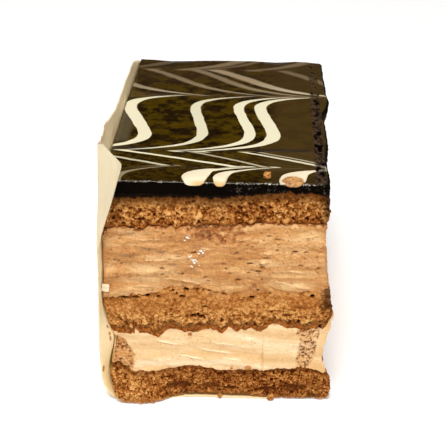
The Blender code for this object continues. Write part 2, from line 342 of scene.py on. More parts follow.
# ---- The bottom sponge -----------------------------------------------------------------------------------
# The lowest sheet of cocoa sponge, squeezed out at the front's left corner. It is cut with a knife, so the
# crumb is torn open into clumps about a millimetre across, with pores between them. Its foot is paler,
# where it was baked.
WIDTH, DEPTH = 0.0620, 0.0950
CORNER_RADIUS = 0.0008
GAP = 0.0001  # left between neighbouring layers
CAP_RINGS = (0.0085, 0.0045, 0.0020)  # how far inside the edge the rings on a layer's top and bottom lie
INNER, CROWDED = 0.0080, 0.00012  # further inside than this, points closer than the second are joined
COLUMNS, FRONT_COLUMNS = ((1080, 350))
ROW = 0.00025  # a wall's row of faces is this high

LEFT_EDGE = (
    (0.0007, -0.0272), (0.0025, -0.0294), (0.0075, -0.0308), (0.0159, -0.0296), (0.0203, -0.0289),
    (0.0250, -0.0305), (0.0328, -0.0319), (0.0421, -0.0311), (0.0544, -0.0310), (0.0700, -0.0305),
)  # fmt: skip
RIGHT_EDGE = (
    (0.0007, 0.0331), (0.0035, 0.0342), (0.0075, 0.0338), (0.0143, 0.0312), (0.0180, 0.0312),
    (0.0250, 0.0331), (0.0302, 0.0336), (0.0395, 0.0320), (0.0450, 0.0308), (0.0565, 0.0304),
    (0.0621, 0.0310), (0.0700, 0.0308),
)  # fmt: skip
SIDE_WANDER = 0.0007
WANDER_LENGTH = 0.018
WANDER_FROM = 0.010  # how far behind the cut face the sides wander in full
BACK_OUT = 0.0003  # how far the back stands out past the cut rectangle
# How much further the right side stands out near the glaze, by Y, in millimetres.
RIGHT_SPREAD = (
    (-47.5, 0.0), (-40.0, 0.35), (-32.0, 0.05), (-26.0, 0.3), (-19.0, 0.9), (-14.0, 0.8), (-9.0, 0.7),
    (-4.5, 0.65), (-1.0, 0.1), (3.3, 0.2), (8.0, 1.7), (14.0, 2.5), (20.0, 1.9), (30.0, 1.5), (47.5, 1.4),
)  # fmt: skip
SPREAD_Z, SPREAD_HEIGHT = 0.063, 0.006  # where that starts, and over how much height
RIGHT_BEHIND = 0.0317  # the right side's X behind its squeezed-out front edge
SQUEEZED = 0.0050  # how deep that edge is
BELLY, BELLY_Z, BELLY_HEIGHT = 0.0007, 0.047, 0.009
TOE, TOE_HEIGHT, TOE_X, TOE_RUN = 0.0046, 0.0115, -0.0080, 0.0130


def front_edge(x, z):
    """The cut face's Y. It leans back, the mousse is a little full, and the lowest sponge has the toe."""
    toe = TOE * smooth((TOE_X - x) / TOE_RUN) * smooth(1 - z / TOE_HEIGHT)
    belly = BELLY * math.exp(-(((z - BELLY_Z) / BELLY_HEIGHT) ** 2))
    return -DEPTH / 2 + LEAN * (z / HEIGHT) ** 2 - belly - toe


def wall_point(x, y, z, inset):
    """Where a point of the cut rectangle's rim lies at a height, moved in by inset, and its way out."""
    radius = CORNER_RADIUS
    core_x = max(radius - WIDTH / 2, min(WIDTH / 2 - radius, x))
    core_y = max(radius - DEPTH / 2, min(DEPTH / 2 - radius, y))
    core = Vector((core_x, core_y))
    out = (Vector((x, y)) - core).normalized()
    flat = core + radius * out
    across, deep = flat.x / (WIDTH / 2), flat.y / (DEPTH / 2)
    across *= 1 - inset / (WIDTH / 2)
    deep *= 1 - inset / (DEPTH / 2)
    behind = smooth((y + DEPTH / 2) / WANDER_FROM)
    wander = SIDE_WANDER * behind * noise.noise(Vector((x, y, z)) / WANDER_LENGTH)
    if across > 0:
        spread = along(RIGHT_SPREAD, y / MM) * MM * smooth((z - SPREAD_Z) / SPREAD_HEIGHT)
        right = along(RIGHT_EDGE, z)
        right -= max(0.0, right - RIGHT_BEHIND) * smooth((y + DEPTH / 2) / SQUEEZED)
        place_x = across * (right + 0.5 * (wander - SIDE_WANDER / 2 * behind) + spread)
    else:
        place_x = -across * (along(LEFT_EDGE, z) + 0.5 * (wander + SIDE_WANDER / 2 * behind))
    if deep < 0:
        place_y = -deep * front_edge(place_x, z)
    else:
        place_y = deep * (DEPTH / 2 + BACK_OUT + wander)
    return Vector((place_x, place_y, z)), out


@dataclass(eq=False)
class Seam:
    """Where two layers meet.

    It is at height in the middle of the slice and gains rise from the left side to the right one. line is how
    it runs along the cut face, (X, Z), and gives way to wider waves behind it. lip is how far the seam
    climbs at the right edge, and ragged how far its fine teeth reach up and down.
    """

    height: float
    rise: float = 0.0
    line: tuple = ()
    lip: float = 0.0
    ragged: float = 0.0


LINE_REACH = 0.012
WAVE_LENGTH = 0.011
WAVE_HEIGHT = 0.0016
WAVE_REACH = 0.0080
LIP_WIDTH = 0.0024
LIP_WAVE = 0.024
TEETH_REACH = 0.0030  # how far inside the edge a seam's teeth die out

CLEAR = 0.00015  # left between the sheet and what lies on it
ON_PAPER = Seam(
    PAPER + CLEAR, 0.0,
    ((-31.0, 0.6), (-14.0, 0.6), (-9.0, 1.0), (-3.0, 1.5), (6.0, 1.6), (12.0, 0.9), (15.0, 0.6), (31.0, 0.7)),
)  # fmt: skip
BOTTOM_TO_CREAM = Seam(
    0.0108, 0.0,
    ((-31.5, 13.4), (-30.2, 11.3), (-28.7, 11.7), (-27.2, 11.1), (-25.5, 9.7), (-23.2, 8.9), (-20.8, 9.1),
     (-16.1, 9.6), (-11.4, 10.3), (-9.1, 11.3), (-6.7, 11.5), (-4.4, 11.2), (-2.1, 10.5), (2.6, 9.8),
     (7.3, 9.9), (11.9, 10.4), (14.2, 10.3), (17.7, 11.2), (27.0, 11.6), (28.7, 11.2), (30.5, 10.1)),
    ragged=0.0004,
)  # fmt: skip
CREAM_TO_MIDDLE = Seam(
    0.0239, 0.0026,
    ((-30.7, 22.9), (-27.3, 22.0), (-25.2, 21.6), (-23.6, 21.9), (-22.9, 23.6), (-22.1, 22.1),
     (-18.7, 22.0), (-18.1, 21.2), (-17.0, 20.8), (-15.4, 22.0), (-14.6, 23.1), (-13.2, 23.6),
     (-11.1, 23.8), (-9.4, 23.4), (-8.7, 22.5), (-7.7, 23.3), (-4.9, 23.1), (-3.4, 23.8), (-1.4, 24.2),
     (0.3, 23.7), (2.0, 22.6), (4.0, 25.2), (5.6, 23.7), (6.6, 23.6), (7.4, 24.4), (8.3, 24.0),
     (10.3, 25.2), (11.1, 24.1), (12.9, 23.5), (15.1, 25.7), (16.5, 26.3), (17.8, 26.1), (19.5, 25.0),
     (22.2, 25.2), (23.9, 25.1), (25.3, 24.3), (26.7, 24.4), (27.8, 25.1), (29.3, 25.3), (31.0, 24.5)),
    lip=0.0064,
    ragged=0.0005,
)  # fmt: skip
MIDDLE_TO_MOUSSE = Seam(
    0.0374, 0.0024,
    ((-31.6, 33.8), (-26.8, 34.3), (-24.7, 34.8), (-19.5, 35.3), (-16.8, 35.7), (-15.1, 36.4), (-13.4, 37.4),
     (-12.1, 38.0), (-5.0, 38.2), (-0.9, 37.6), (2.2, 36.4), (4.2, 36.6), (7.0, 37.2), (9.0, 37.5),
     (24.2, 37.6), (28.9, 38.2), (31.2, 38.6)),
    ragged=0.0006,
)  # fmt: skip
MOUSSE_TO_TOP = Seam(
    0.0570, 0.0026,
    ((-30.8, 54.0), (-29.5, 55.7), (-27.5, 56.2), (-24.2, 56.3), (-22.0, 55.6), (-19.2, 55.9), (-18.3, 56.7),
     (-12.2, 56.8), (-10.1, 56.4), (-6.8, 57.1), (4.1, 57.4), (9.0, 57.6), (13.3, 58.4), (17.6, 58.1),
     (28.4, 58.4), (30.3, 58.1)),
    ragged=0.0005,
)  # fmt: skip
TOP_TO_GLAZE = Seam(
    0.0669, 0.0012,
    ((-31.0, 66.2), (-10.0, 66.5), (3.0, 66.3), (14.0, 67.2), (20.0, 67.8), (28.0, 67.4), (31.0, 66.4)),
    ragged=0.0004,
)  # fmt: skip
GLAZE_TOP = Seam(HEIGHT)


def seam_height(seam, x, y):
    """The height of a seam over a point of the cut rectangle."""
    z = seam.height + seam.rise * x / WIDTH
    inside = min(WIDTH / 2 - abs(x), DEPTH / 2 - abs(y))
    if seam is GLAZE_TOP or inside > WAVE_REACH:
        return z
    edge = smooth(1 - inside / WAVE_REACH)
    near = math.exp(-(((y + DEPTH / 2) / LINE_REACH) ** 2))
    wall_x = abs(along(RIGHT_EDGE if x > 0 else LEFT_EDGE, seam.height)) * x / (WIDTH / 2)
    line = along(seam.line, wall_x / MM) * MM - z
    if seam is ON_PAPER:
        return z + edge * near * line
    waves = WAVE_HEIGHT * noise.noise(Vector((x, y, 7 * seam.height)) / WAVE_LENGTH)
    lip_y = mix(0.8 + 0.4 * noise.noise(Vector((y, 0, 0)) / LIP_WAVE), 1.0, near)
    lip = seam.lip * lip_y * smooth((x - WIDTH / 2 + LIP_WIDTH) / LIP_WIDTH)
    spot = Vector((x, y, seam.height)) / MM
    teeth = noise.noise(spot / 1.9) + 0.6 * noise.noise(spot / 0.7)
    return z + edge * (mix(waves, line, near) + lip) + seam.ragged * teeth * smooth(1 - inside / TEETH_REACH)


def rim(share):
    """The point at a share of the way round the cut rectangle, from its front left corner to the right."""
    front = FRONT_COLUMNS / COLUMNS
    if share < front:
        return mix(-WIDTH / 2, WIDTH / 2, share / front), -DEPTH / 2
    run = mix(0, WIDTH + 2 * DEPTH, (share - front) / (1 - front))
    if run < DEPTH:
        return WIDTH / 2, run - DEPTH / 2
    if run < DEPTH + WIDTH:
        return WIDTH / 2 + DEPTH - run, DEPTH / 2
    return -WIDTH / 2, WIDTH + 1.5 * DEPTH - run


def layer_mesh(lower, upper, relief, rings=CAP_RINGS, rim_radius=None, sag=None):
    """A layer between two seams.

    relief(spot, out, over, under) gives how far a spot of its wall stands out, how deep it lies in a hollow,
    which the finishes paint as shade (below 0, on a ridge, as a painted highlight), and a mask of marks such
    as stains, smears and porous patches, which on the lowest sponge marks its dents for painted shade. over
    and under are its heights over the lower seam and under the upper one.
    rim_radius(x) rounds the upper edge, rings are the top's, and sag(x, y) is how far the top lies low.
    """
    rows = round((upper.height - lower.height) / ROW)
    level = [(ring, 0.0, 0.0) for ring in CAP_RINGS] + [(0.0, i / rows, 0.0) for i in range(rows + 1)]
    if rim_radius:
        level += [(0.0, 1.0, math.radians(turn)) for turn in (15, 30, 45, 60, 75, 90)]
    level += [(ring, 1.0, math.pi / 2 if rim_radius else 0.0) for ring in reversed(rings)]

    bm = bmesh.new()
    shade_depth, stain_and_dent_shade, over_layer, under_layer = (
        bm.verts.layers.float.new(name) for name in ("shade_depth", "stain_and_dent_shade", "over", "under")
    )
    bmesh.ops.create_cone(bm, cap_ends=True, segments=COLUMNS, radius1=1, radius2=1, depth=1)
    upright = [edge for edge in bm.edges if edge.verts[0].co.z != edge.verts[1].co.z]
    bmesh.ops.subdivide_edges(bm, edges=upright, cuts=len(level) - 2, use_grid_fill=True)
    inner = []
    for vert in bm.verts:
        inset, share, turn = level[round((vert.co.z + 0.5) * (len(level) - 1))]
        x, y = rim(math.atan2(vert.co.y, vert.co.x) / math.tau % 1)
        radius = rim_radius(x) if rim_radius else 0.0
        shrink_x, shrink_y = 1 - 2 * inset / WIDTH, 1 - 2 * inset / DEPTH
        low = seam_height(lower, x * shrink_x, y * shrink_y) + GAP / 2
        high = seam_height(upper, x * shrink_x, y * shrink_y) - (0 if upper is GLAZE_TOP else GAP / 2)
        z = mix(low, high - radius, share) + radius * math.sin(turn)
        place, out = wall_point(x, y, z, inset + radius * (1 - math.cos(turn)))
        over, under = (z - low) / MM, (high - z) / MM
        vert[over_layer], vert[under_layer] = over, under
        if inset == 0 and turn < math.pi / 2:
            proud, vert[shade_depth], vert[stain_and_dent_shade] = relief(place / MM, out, over, under)
            pressed = smooth(-2 * out.x - 0.6)  # by the paper, on its left side
            proud = mix(proud, min(0.0, 0.4 * proud), pressed) - 0.25 * smooth(2 * out.x - 0.6)
            place += proud * MM * math.cos(turn) * out.to_3d()
        if sag:
            place.z -= sag(place.x, place.y) * math.sin(turn)
        vert.co = place
        if inset > INNER:
            inner.append(vert)
    bmesh.ops.remove_doubles(bm, verts=inner, dist=CROWDED)
    return bm


def dents(spots, spot, out):
    """How deep a place of the cut face lies in a list of dents: (x, z, half width, half height, depth)."""
    if out.y > -0.7:
        return 0.0
    deepest = 0.0
    for x, z, half_width, half_height, depth in spots:
        reach = ((spot.x - x) / half_width) ** 2 + ((spot.z - z) / half_height) ** 2
        if reach < 2:
            rough = 0.5 * noise.noise(spot / 0.6)
            deepest = max(deepest, depth * smooth(1.25 - reach + rough))
    return deepest


CLUMP, FINE_CLUMP = 1.15, 0.48


def crumb(spot, coarse=1.0):
    """Torn crumb, of uneven flakes and pores. Gives how proud it is, and how deep."""
    bent = spot + 0.3 * noise.noise_vector(spot / 0.9)
    far, points = noise.voronoi(bent / CLUMP)
    clump = 0.55 * noise.noise(points[0] * 5.3) + 0.20 * max(0.0, 1 - (far[0] / 0.72) ** 2)
    far, points = noise.voronoi(bent / FINE_CLUMP + Vector((7, 3, 5)))
    fine = 0.24 * noise.noise(points[0] * 4.7) + 0.05 * max(0.0, 1 - (far[0] / 0.72) ** 2)
    swell = noise.noise(spot / 4.0)
    hole = smooth((noise.noise(spot / 1.2 + Vector((3, 1, 4))) - 0.36) / 0.14)
    proud = coarse * (clump + fine - 0.4 * hole) + 0.30 * swell - 0.15
    return proud, min(1.0, max(0.0, 0.45 - proud / 1.1 + 0.4 * hole))


# Smooth places on the cut face, where the knife pressed the crumb: (x, z, half width, half height, depth).
PRESSED = (
    (-10.6, 4.4, 4.2, 1.3, 0.25), (-1.4, 4.2, 3.0, 1.2, 0.25), (4.6, 3.8, 2.6, 0.7, 0.25),
    (15.5, 3.6, 3.4, 0.8, 0.25), (22.6, 4.3, 4.2, 1.4, 0.25),
)  # fmt: skip


def bottom_relief(spot, out, over, under):
    proud, shade_depth = crumb(spot * 1.25, mix(1.1, 0.8, smooth((spot.x + 24) / 12)))
    pressed = min(1.0, dents(PRESSED, spot, out) / 0.25)
    flat = -0.6 + 0.12 * noise.noise(spot / 0.6)
    # In the dents, a raised shade depth and the dent mask both darken the finish: painted shade in these
    # hollows.
    return mix(proud, flat, 0.9 * pressed), mix(shade_depth, 0.8, 0.9 * pressed), pressed


def sponge_finish(name, at, darker, fine=1.0, golden=0.0):
    """Cocoa sponge: flakes of random golden to red-brown tone, with painted shade deepening into the crumb's
    hollows, which leaves what stands out paler.

    at moves its noise, darker shifts its colours, fine scales its flakes, and golden is how much paler it is
    at the left. Gives the finish, its colour and a fleck.
    """
    finish = Finish(name, Specular_IOR_Level=0.05, Roughness=0.9)
    bend = {0: finish.swirl(0.7), 1: (0.35,) * 3, 2: finish.place}
    bent = finish.node("VectorMath", {"operation": "MULTIPLY_ADD"}, bend)
    flake = finish.cells(bent, 0.72 * fine) * 0.55 + finish.cells(bent, 0.36 * fine) * 0.45
    fleck = finish.grain(0.25, detail=3.0, at=at)
    patch = finish.grain(5.0, (1.6, 1.6, 1), 3.0, at=at).step(0.36, 0.66)
    # The mesh's depth into the crumb's hollows darkens the colour: painted shade, with paler tops as painted
    # light. The flakes, flecks and patches are the crumb's own random tone.
    depth = finish.attribute("shade_depth") * 0.65 + (flake - 0.5) * 0.85 + (fleck - 0.5) * 0.5 + patch * 0.14
    depth = depth - (finish.x + (fleck - 0.5) * 6.0).step(-12, -22) * golden
    colour = finish.ramp(
        depth + darker,
        (0.02, tone(230, 176, 106)),
        (0.28, tone(202, 140, 74)),
        (0.50, tone(162, 98, 42)),
        (0.74, tone(118, 58, 12)),
        (1.0, tone(52, 16, 0)),
    )
    return finish, colour, flake * 0.5 + fleck * 0.5


bottom_crumb, colour, fleck = sponge_finish("bottom_sponge_crumb", 0.0, 0.20, 0.75, 0.16)
# Darker just under the cream: partly crumb soaked by the cream, partly painted shade along the seam.
under = bottom_crumb.attribute("under") + (fleck - 0.5) * 2.0
colour = bottom_crumb.blend(under.step(1.6, 0.5) * 0.55, colour, tone(104, 52, 18))
foot = (bottom_crumb.attribute("over") + (fleck - 0.5) * 2.0).step(1.6, 0.4)
colour = bottom_crumb.blend(foot * 0.25, colour, tone(200, 134, 72))
# Painted shade: the pressed dents are darker.
colour = bottom_crumb.blend(bottom_crumb.attribute("stain_and_dent_shade") * 0.7, colour, tone(94, 48, 18))
bottom_crumb.paint(colour, None, fleck, 0.22)
add_piece(
    "bottom_sponge_slab", layer_mesh(ON_PAPER, BOTTOM_TO_CREAM, bottom_relief),
    bottom_crumb.material, ["bottom_sponge"],
)  # fmt: skip

# ---- The coffee cream ------------------------------------------------------------------------------------
# A light coffee cream, spread between the two lower sponges. The knife left it smooth, with broad ridges
# that run down to the right, a panel with a sharp edge on the right, and porous, darker cream at both ends.
POROUS_LEFT = ((9.0, -23.8), (14.1, -23.0), (20.3, -26.2), (21.9, -29.6), (26.0, -31.0))
POROUS_RIGHT = ((10.0, 23.6), (14.0, 23.0), (20.0, 24.0), (27.0, 22.5))
PEEL = ((10.0, 25.8), (14.0, 28.6), (20.0, 29.4), (26.0, 30.4))  # right of this the cream is smooth again
PANEL_LEFT, PANEL_RIGHT = 13.7, 22.4
PANEL_STEP = 0.3
CREAM_RIDGES = (
    (-6.0, 17.5, 6.6, 15.7), (-12.0, 15.4, -2.0, 14.0), (-2.0, 19.8, 7.0, 18.6), (-18.0, 19.6, -9.0, 18.6),
    (1.0, 14.6, 9.0, 13.6), (15.0, 19.0, 21.0, 18.6),
)  # fmt: skip


def crest(spot, high, length, height):
    """A few thin sharp ridges along a smooth surface, which stand out by up to 1."""
    level = noise.noise(Vector((spot.x / length, spot.y / length, high / height)))
    patch = smooth(2.5 * noise.noise(Vector((spot.x / length, spot.y / length, high / height / 2 + 5))))
    return patch * max(0.0, 1 - 5 * abs(level)) ** 2


def drawn(ridges, spot, out):
    """How high a place of the cut face lies on a list of ridges, 0 to 1."""
    if out.y > -0.7:
        return 0.0
    wobble = 0.35 * noise.noise(Vector((spot.x / 2.2, 0, spot.z / 6)))
    highest = 0.0
    for left, left_z, right, right_z in ridges:
        share = (spot.x - left) / (right - left)
        if 0 < share < 1:
            off = abs(spot.z + wobble - mix(left_z, right_z, share)) / 0.42
            highest = max(highest, max(0.0, 1 - off) * smooth(3 * share) * smooth(3 * (1 - share)))
    return highest


def cream_relief(spot, out, over, under):
    slope = spot.z + 0.16 * spot.x
    swell = noise.noise(Vector((0.06 * spot.x, 0.06 * spot.y, slope / 3.0)))
    drag = noise.noise(Vector((spot.x / 8, spot.y / 8, slope / 0.7)))
    ridge = max(0.5 * crest(spot, slope, 16, 2.0), drawn(CREAM_RIDGES, spot, out))
    ruffle = noise.noise(Vector((spot.x / 3.0, spot.y / 3.0, slope / 1.4 + 3))) + 0.4 * noise.noise(spot / 1.0)
    proud = 0.65 * swell + 0.07 * drag + 0.18 * ruffle + 0.35 * ridge
    if out.y < -0.7:
        wobble = 1.2 * noise.noise(Vector((spot.z / 2.0, 0, 0)))
        porous = smooth((along(POROUS_LEFT, spot.z) - spot.x + wobble) / 0.8)
        right = smooth((spot.x - along(POROUS_RIGHT, spot.z) + wobble) / 0.8)
        porous = max(porous, right * smooth((along(PEEL, spot.z) - spot.x + 0.3 * wobble) / 0.6))
        panel = smooth((spot.x - PANEL_LEFT + 0.3 * wobble) / 0.35) * smooth((PANEL_RIGHT - spot.x) / 1.0)
        panel *= smooth((22.5 - spot.z) / 1.5)
        proud, ridge = mix(proud, PANEL_STEP + 0.05 * swell, panel), ridge * (1 - panel)
        cut = math.exp(-(((spot.x - PANEL_LEFT + 0.3 * wobble) / 0.25) ** 2))
        proud -= 0.3 * cut * smooth((21 - spot.z) / 1.5)
    else:
        porous = smooth((noise.noise(spot / 9.0) + 0.4 * noise.noise(spot / 2.2) - 0.22) / 0.30)
    far, points = noise.voronoi(spot / 0.65)
    hole = smooth((0.46 + 0.6 * noise.noise(points[0] * 4.1) - far[0]) / 0.22)
    stray = smooth((noise.noise(spot / 0.9 + Vector((5, 0, 2))) - 0.70) / 0.08)
    hole = max(hole * porous, 0.7 * stray)
    proud += -0.45 * hole - 0.3 * porous + 0.15 * porous * noise.noise(spot / 0.6)
    # The second value is painted shade in the holes and, below 0, a painted highlight along the ridges.
    return proud, hole - 0.6 * ridge * (1 - porous), porous


whipped = Finish("coffee_cream", Roughness=0.6, Specular_IOR_Level=0.15)
veil = whipped.grain(3.0, (6, 6, 1), 3.0)
fleck = whipped.grain(0.5, (2, 2, 1), 4.0)
colour = whipped.ramp(
    veil * 0.75 + fleck * 0.25,
    (0.34, tone(222, 178, 122)),
    (0.50, tone(236, 199, 148)),
    (0.64, tone(247, 222, 182)),
)
# Painted highlight: paler along the ridges.
colour = whipped.blend(whipped.attribute("shade_depth").step(-0.05, -0.45) * 0.6, colour, tone(255, 238, 204))
porous = whipped.attribute("stain_and_dent_shade") * (0.8 - whipped.x.step(-10, 20) * 0.35 + (fleck - 0.5) * 2.6)
colour = whipped.blend(porous, colour, tone(198, 138, 74))
# Painted shade: darker in the holes.
colour = whipped.blend(whipped.attribute("shade_depth") * 0.85, colour, tone(134, 70, 24))
# Painted shade: the smooth sliver at the right end is darker orange-tan.
peel_shade = (whipped.x - whipped.z * 0.2 + (fleck - 0.5) * 1.0).step(24.5, 26.0)
colour = whipped.blend(peel_shade * 0.5, colour, tone(226, 172, 106))
edge = (whipped.attribute("over") + (fleck - 0.5) * 1.6).step(1.2, 0.2)
colour = whipped.blend(edge * 0.4, colour, tone(226, 170, 108))
speck = whipped.cells(whipped.place, 0.35).step(0.975, 0.99)
colour = whipped.blend(speck * 0.5, colour, tone(186, 122, 66))
whipped.paint(colour, None, fleck, 0.08)
add_piece(
    "coffee_cream_slab", layer_mesh(BOTTOM_TO_CREAM, CREAM_TO_MIDDLE, cream_relief),
    whipped.material, ["coffee_cream"],
)  # fmt: skip

# ---- The middle sponge -----------------------------------------------------------------------------------
# The second sheet of cocoa sponge. The knife dragged mousse over its upper edge, and its baked underside is
# a smoother red-brown skin with teeth that hang into the cream.
MIDDLE_HOLES = (
    (-6.1, 28.5, 0.9, 0.5, 1.3), (-4.8, 28.9, 0.4, 0.7, 1.3), (-3.8, 28.2, 0.9, 0.5, 1.3),
    (-2.9, 27.8, 0.3, 0.6, 1.2), (-8.0, 37.3, 0.9, 0.6, 0.9), (-5.2, 37.3, 0.8, 0.5, 0.6),
    (-3.2, 37.2, 0.4, 0.5, 0.7), (-1.5, 37.3, 0.5, 0.5, 0.9), (0.2, 36.7, 0.7, 0.3, 0.9),
    (2.6, 36.0, 0.9, 0.4, 0.8), (-10.7, 35.8, 0.3, 0.6, 0.9), (-9.1, 34.8, 1.0, 0.5, 1.1),
    (-11.8, 36.7, 0.5, 0.4, 0.8), (-25.5, 34.1, 1.3, 0.5, 0.9), (-22.3, 34.2, 1.3, 0.4, 0.7),
    (-19.0, 34.8, 0.9, 0.5, 0.9), (-16.0, 34.6, 0.8, 0.5, 0.8), (-2.8, 31.6, 0.9, 0.3, 0.7),
    (10.4, 35.1, 0.9, 0.45, 0.9), (27.3, 36.0, 0.7, 0.6, 1.2), (23.7, 27.4, 0.5, 0.5, 1.2),
    (26.8, 27.2, 0.4, 0.3, 1.0), (30.0, 25.9, 0.7, 0.7, 1.2), (15.4, 36.6, 0.5, 0.3, 0.7),
)  # fmt: skip
SKIN = 1.5
WET_X = 30.0


def middle_relief(spot, out, over, under):
    proud, shade_depth = crumb(spot)
    ragged = 0.9 * noise.noise(spot / 2.4)
    skin = smooth((SKIN - over + ragged) / 0.6)
    smeared = smooth((1.5 - under + 2.2 * noise.noise(spot / 4.0 + Vector((2, 2, 2)))) / 1.0)
    smeared *= smooth((spot.x + 14) / 6)
    ledge = 0.5 * smooth((0.8 - under) / 0.8) * (1 - smeared)
    fine = smooth(0.7 + 1.2 * noise.noise(spot / 9.0 + Vector((4, 0, 1)))) * smooth((over - 3.5) / 4)
    proud = mix(proud, 0.05 + 0.10 * noise.noise(spot / 0.9), max(0.5 * smeared, 0.6 * fine))
    proud = mix(proud, -0.10 + 0.35 * noise.noise(spot / 0.8), 0.75 * skin)
    hole = dents(MIDDLE_HOLES, spot, out)
    # The listed holes and the ledge under the mousse deepen the shade depth, which the finish paints as shade.
    shade_depth = mix(shade_depth, 0.5, max(0.6 * skin, 0.5 * fine)) + hole + 0.6 * ledge
    return proud - hole - ledge, min(1.3, shade_depth), smeared


middle_crumb, colour, fleck = sponge_finish("middle_sponge_crumb", 3.0, -0.02)
dense = (middle_crumb.attribute("over") + (fleck - 0.5) * 4.0).step(5.0, 9.0)
colour = middle_crumb.blend(dense * 0.4, colour, tone(182, 114, 54))
smear = middle_crumb.attribute("stain_and_dent_shade") * (0.4 + (fleck - 0.5) * 2.0)
colour = middle_crumb.blend(smear, colour, tone(214, 156, 98))
height = middle_crumb.attribute("over") + (fleck - 0.5) * 2.4 + (middle_crumb.grain(1.2, at=2.0) - 0.5) * 3.0
skin = height.step(2.0, 1.2)
# Painted shade: a dark band along the top of the baked skin, where it meets the crumb.
gap_shade = height.step(1.2, 1.8) * height.step(2.8, 2.1)
colour = middle_crumb.blend(gap_shade * 0.75, colour, tone(78, 34, 6))
flakes = middle_crumb.cells(middle_crumb.place, 0.5) * 0.45 + fleck * 0.55
skin_colour = middle_crumb.ramp(
    flakes,
    (0.3, tone(96, 42, 8)),
    (0.5, tone(146, 76, 22)),
    (0.7, tone(190, 108, 42)),
)
colour = middle_crumb.blend(skin * 0.85, colour, skin_colour)
# Painted shadow: near-black in the deepest holes.
colour = middle_crumb.blend(middle_crumb.attribute("shade_depth").step(1.05, 1.3), colour, tone(14, 4, 0))
wet = (middle_crumb.x + (fleck - 0.5) * 3.0).step(WET_X - 1.5, WET_X + 1.0) * middle_crumb.z.step(30, 33)
wet = wet * (middle_crumb.y + (fleck - 0.5) * 6.0).step(-41, -45)
colour = middle_crumb.blend(wet * 0.8, colour, tone(58, 28, 12))
middle_crumb.paint(colour, None, fleck, 0.22)
add_piece(
    "middle_sponge_slab", layer_mesh(CREAM_TO_MIDDLE, MIDDLE_TO_MOUSSE, middle_relief),
    middle_crumb.material, ["middle_sponge"],
)  # fmt: skip

# ---- The mousse ------------------------------------------------------------------------------------------
# A deep chocolate mousse. The knife drew it into fine level ridges, opened long pits, most of them in its
# right half, and left a smear of crumbs under the sponge above.
MOUSSE_PITS = (
    (-13.3, 56.0, 0.3, 0.2, 0.4), (-11.8, 53.8, 0.4, 0.2, 0.4), (-16.8, 53.2, 0.5, 0.25, 0.5),
    (-18.0, 49.8, 0.3, 0.3, 0.6), (-5.7, 49.3, 0.9, 0.3, 0.8), (-14.7, 44.0, 0.7, 0.3, 0.9),
    (-8.9, 42.6, 0.4, 0.4, 0.9), (-1.8, 40.2, 0.6, 0.25, 0.7), (-25.9, 45.3, 0.5, 0.3, 0.4),
    (7.0, 55.5, 2.1, 0.2, 0.5), (14.8, 54.6, 1.1, 0.25, 0.6), (17.4, 53.7, 1.4, 0.25, 0.6),
    (7.4, 52.8, 0.5, 0.25, 0.6), (13.3, 53.2, 0.4, 0.2, 0.5), (11.2, 52.2, 0.3, 0.2, 0.5),
    (10.1, 51.5, 0.5, 0.2, 0.6), (17.0, 50.6, 0.5, 0.25, 0.7), (22.0, 50.2, 1.0, 0.3, 0.9),
    (24.8, 50.1, 0.9, 0.25, 0.8), (24.8, 48.2, 0.4, 0.2, 0.6), (14.2, 48.1, 1.5, 0.4, 0.5),
    (8.9, 49.5, 0.3, 0.2, 0.5), (5.9, 49.3, 0.8, 0.3, 0.5), (9.8, 46.3, 1.1, 0.3, 0.9),
    (2.4, 45.8, 0.8, 0.3, 0.5), (23.6, 46.0, 0.8, 0.25, 0.7), (28.4, 45.1, 0.5, 0.25, 0.7),
    (27.9, 48.6, 0.7, 0.2, 0.5), (11.9, 44.0, 1.0, 0.3, 0.9), (9.3, 43.3, 0.5, 0.2, 0.7),
    (13.1, 41.3, 0.4, 0.3, 0.6), (6.5, 40.7, 0.9, 0.3, 0.7), (8.2, 39.5, 0.3, 0.25, 0.6),
    (27.0, 37.6, 1.4, 0.15, 0.5),
)  # fmt: skip
# Thin sharp ridges: (X, Z) of the left end and (X, Z) of the right one.
MOUSSE_RIDGES = (
    (-23.0, 52.8, -12.5, 53.0), (-22.0, 46.6, -10.4, 47.0), (-23.6, 37.9, -14.8, 38.4),
    (-10.6, 40.6, -2.0, 39.1), (-15.5, 40.6, -9.0, 40.9), (10.6, 49.5, 17.8, 49.8),
    (11.6, 46.8, 16.4, 47.0), (15.4, 41.0, 22.0, 39.9), (20.5, 40.1, 27.8, 38.2), (23.2, 54.6, 29.0, 55.2),
    (-4.5, 50.6, -0.5, 50.4), (19.0, 44.6, 26.0, 43.4),
)  # fmt: skip
CRUMB_SMEAR = (-0.8, 56.0, 7.0, 4.0)
SHADED = (
    (-22.4, 54.1, 2.2, 0.6), (-18.2, 50.0, 3.0, 0.6), (-14.5, 49.3, 1.6, 0.5), (-11.0, 45.2, 2.4, 0.5),
    (-7.0, 43.8, 2.2, 0.7), (-25.0, 48.2, 4.0, 0.6), (-4.8, 51.2, 2.4, 0.5), (5.9, 49.2, 1.8, 0.4),
)  # fmt: skip
LIT = (
    (-17.0, 43.6, 7.0, 2.0), (-20.5, 40.0, 6.0, 1.2), (21.0, 39.8, 6.0, 1.2), (26.4, 55.2, 3.0, 1.3),
    (-14.0, 47.6, 6.0, 0.9), (13.5, 46.6, 4.0, 1.2), (-6.0, 40.6, 5.0, 1.0), (20.0, 43.4, 7.0, 1.2),
)  # fmt: skip
SHEAR = 0.0028  # how much the knife's marks fall off to both sides, in the layer's lower half


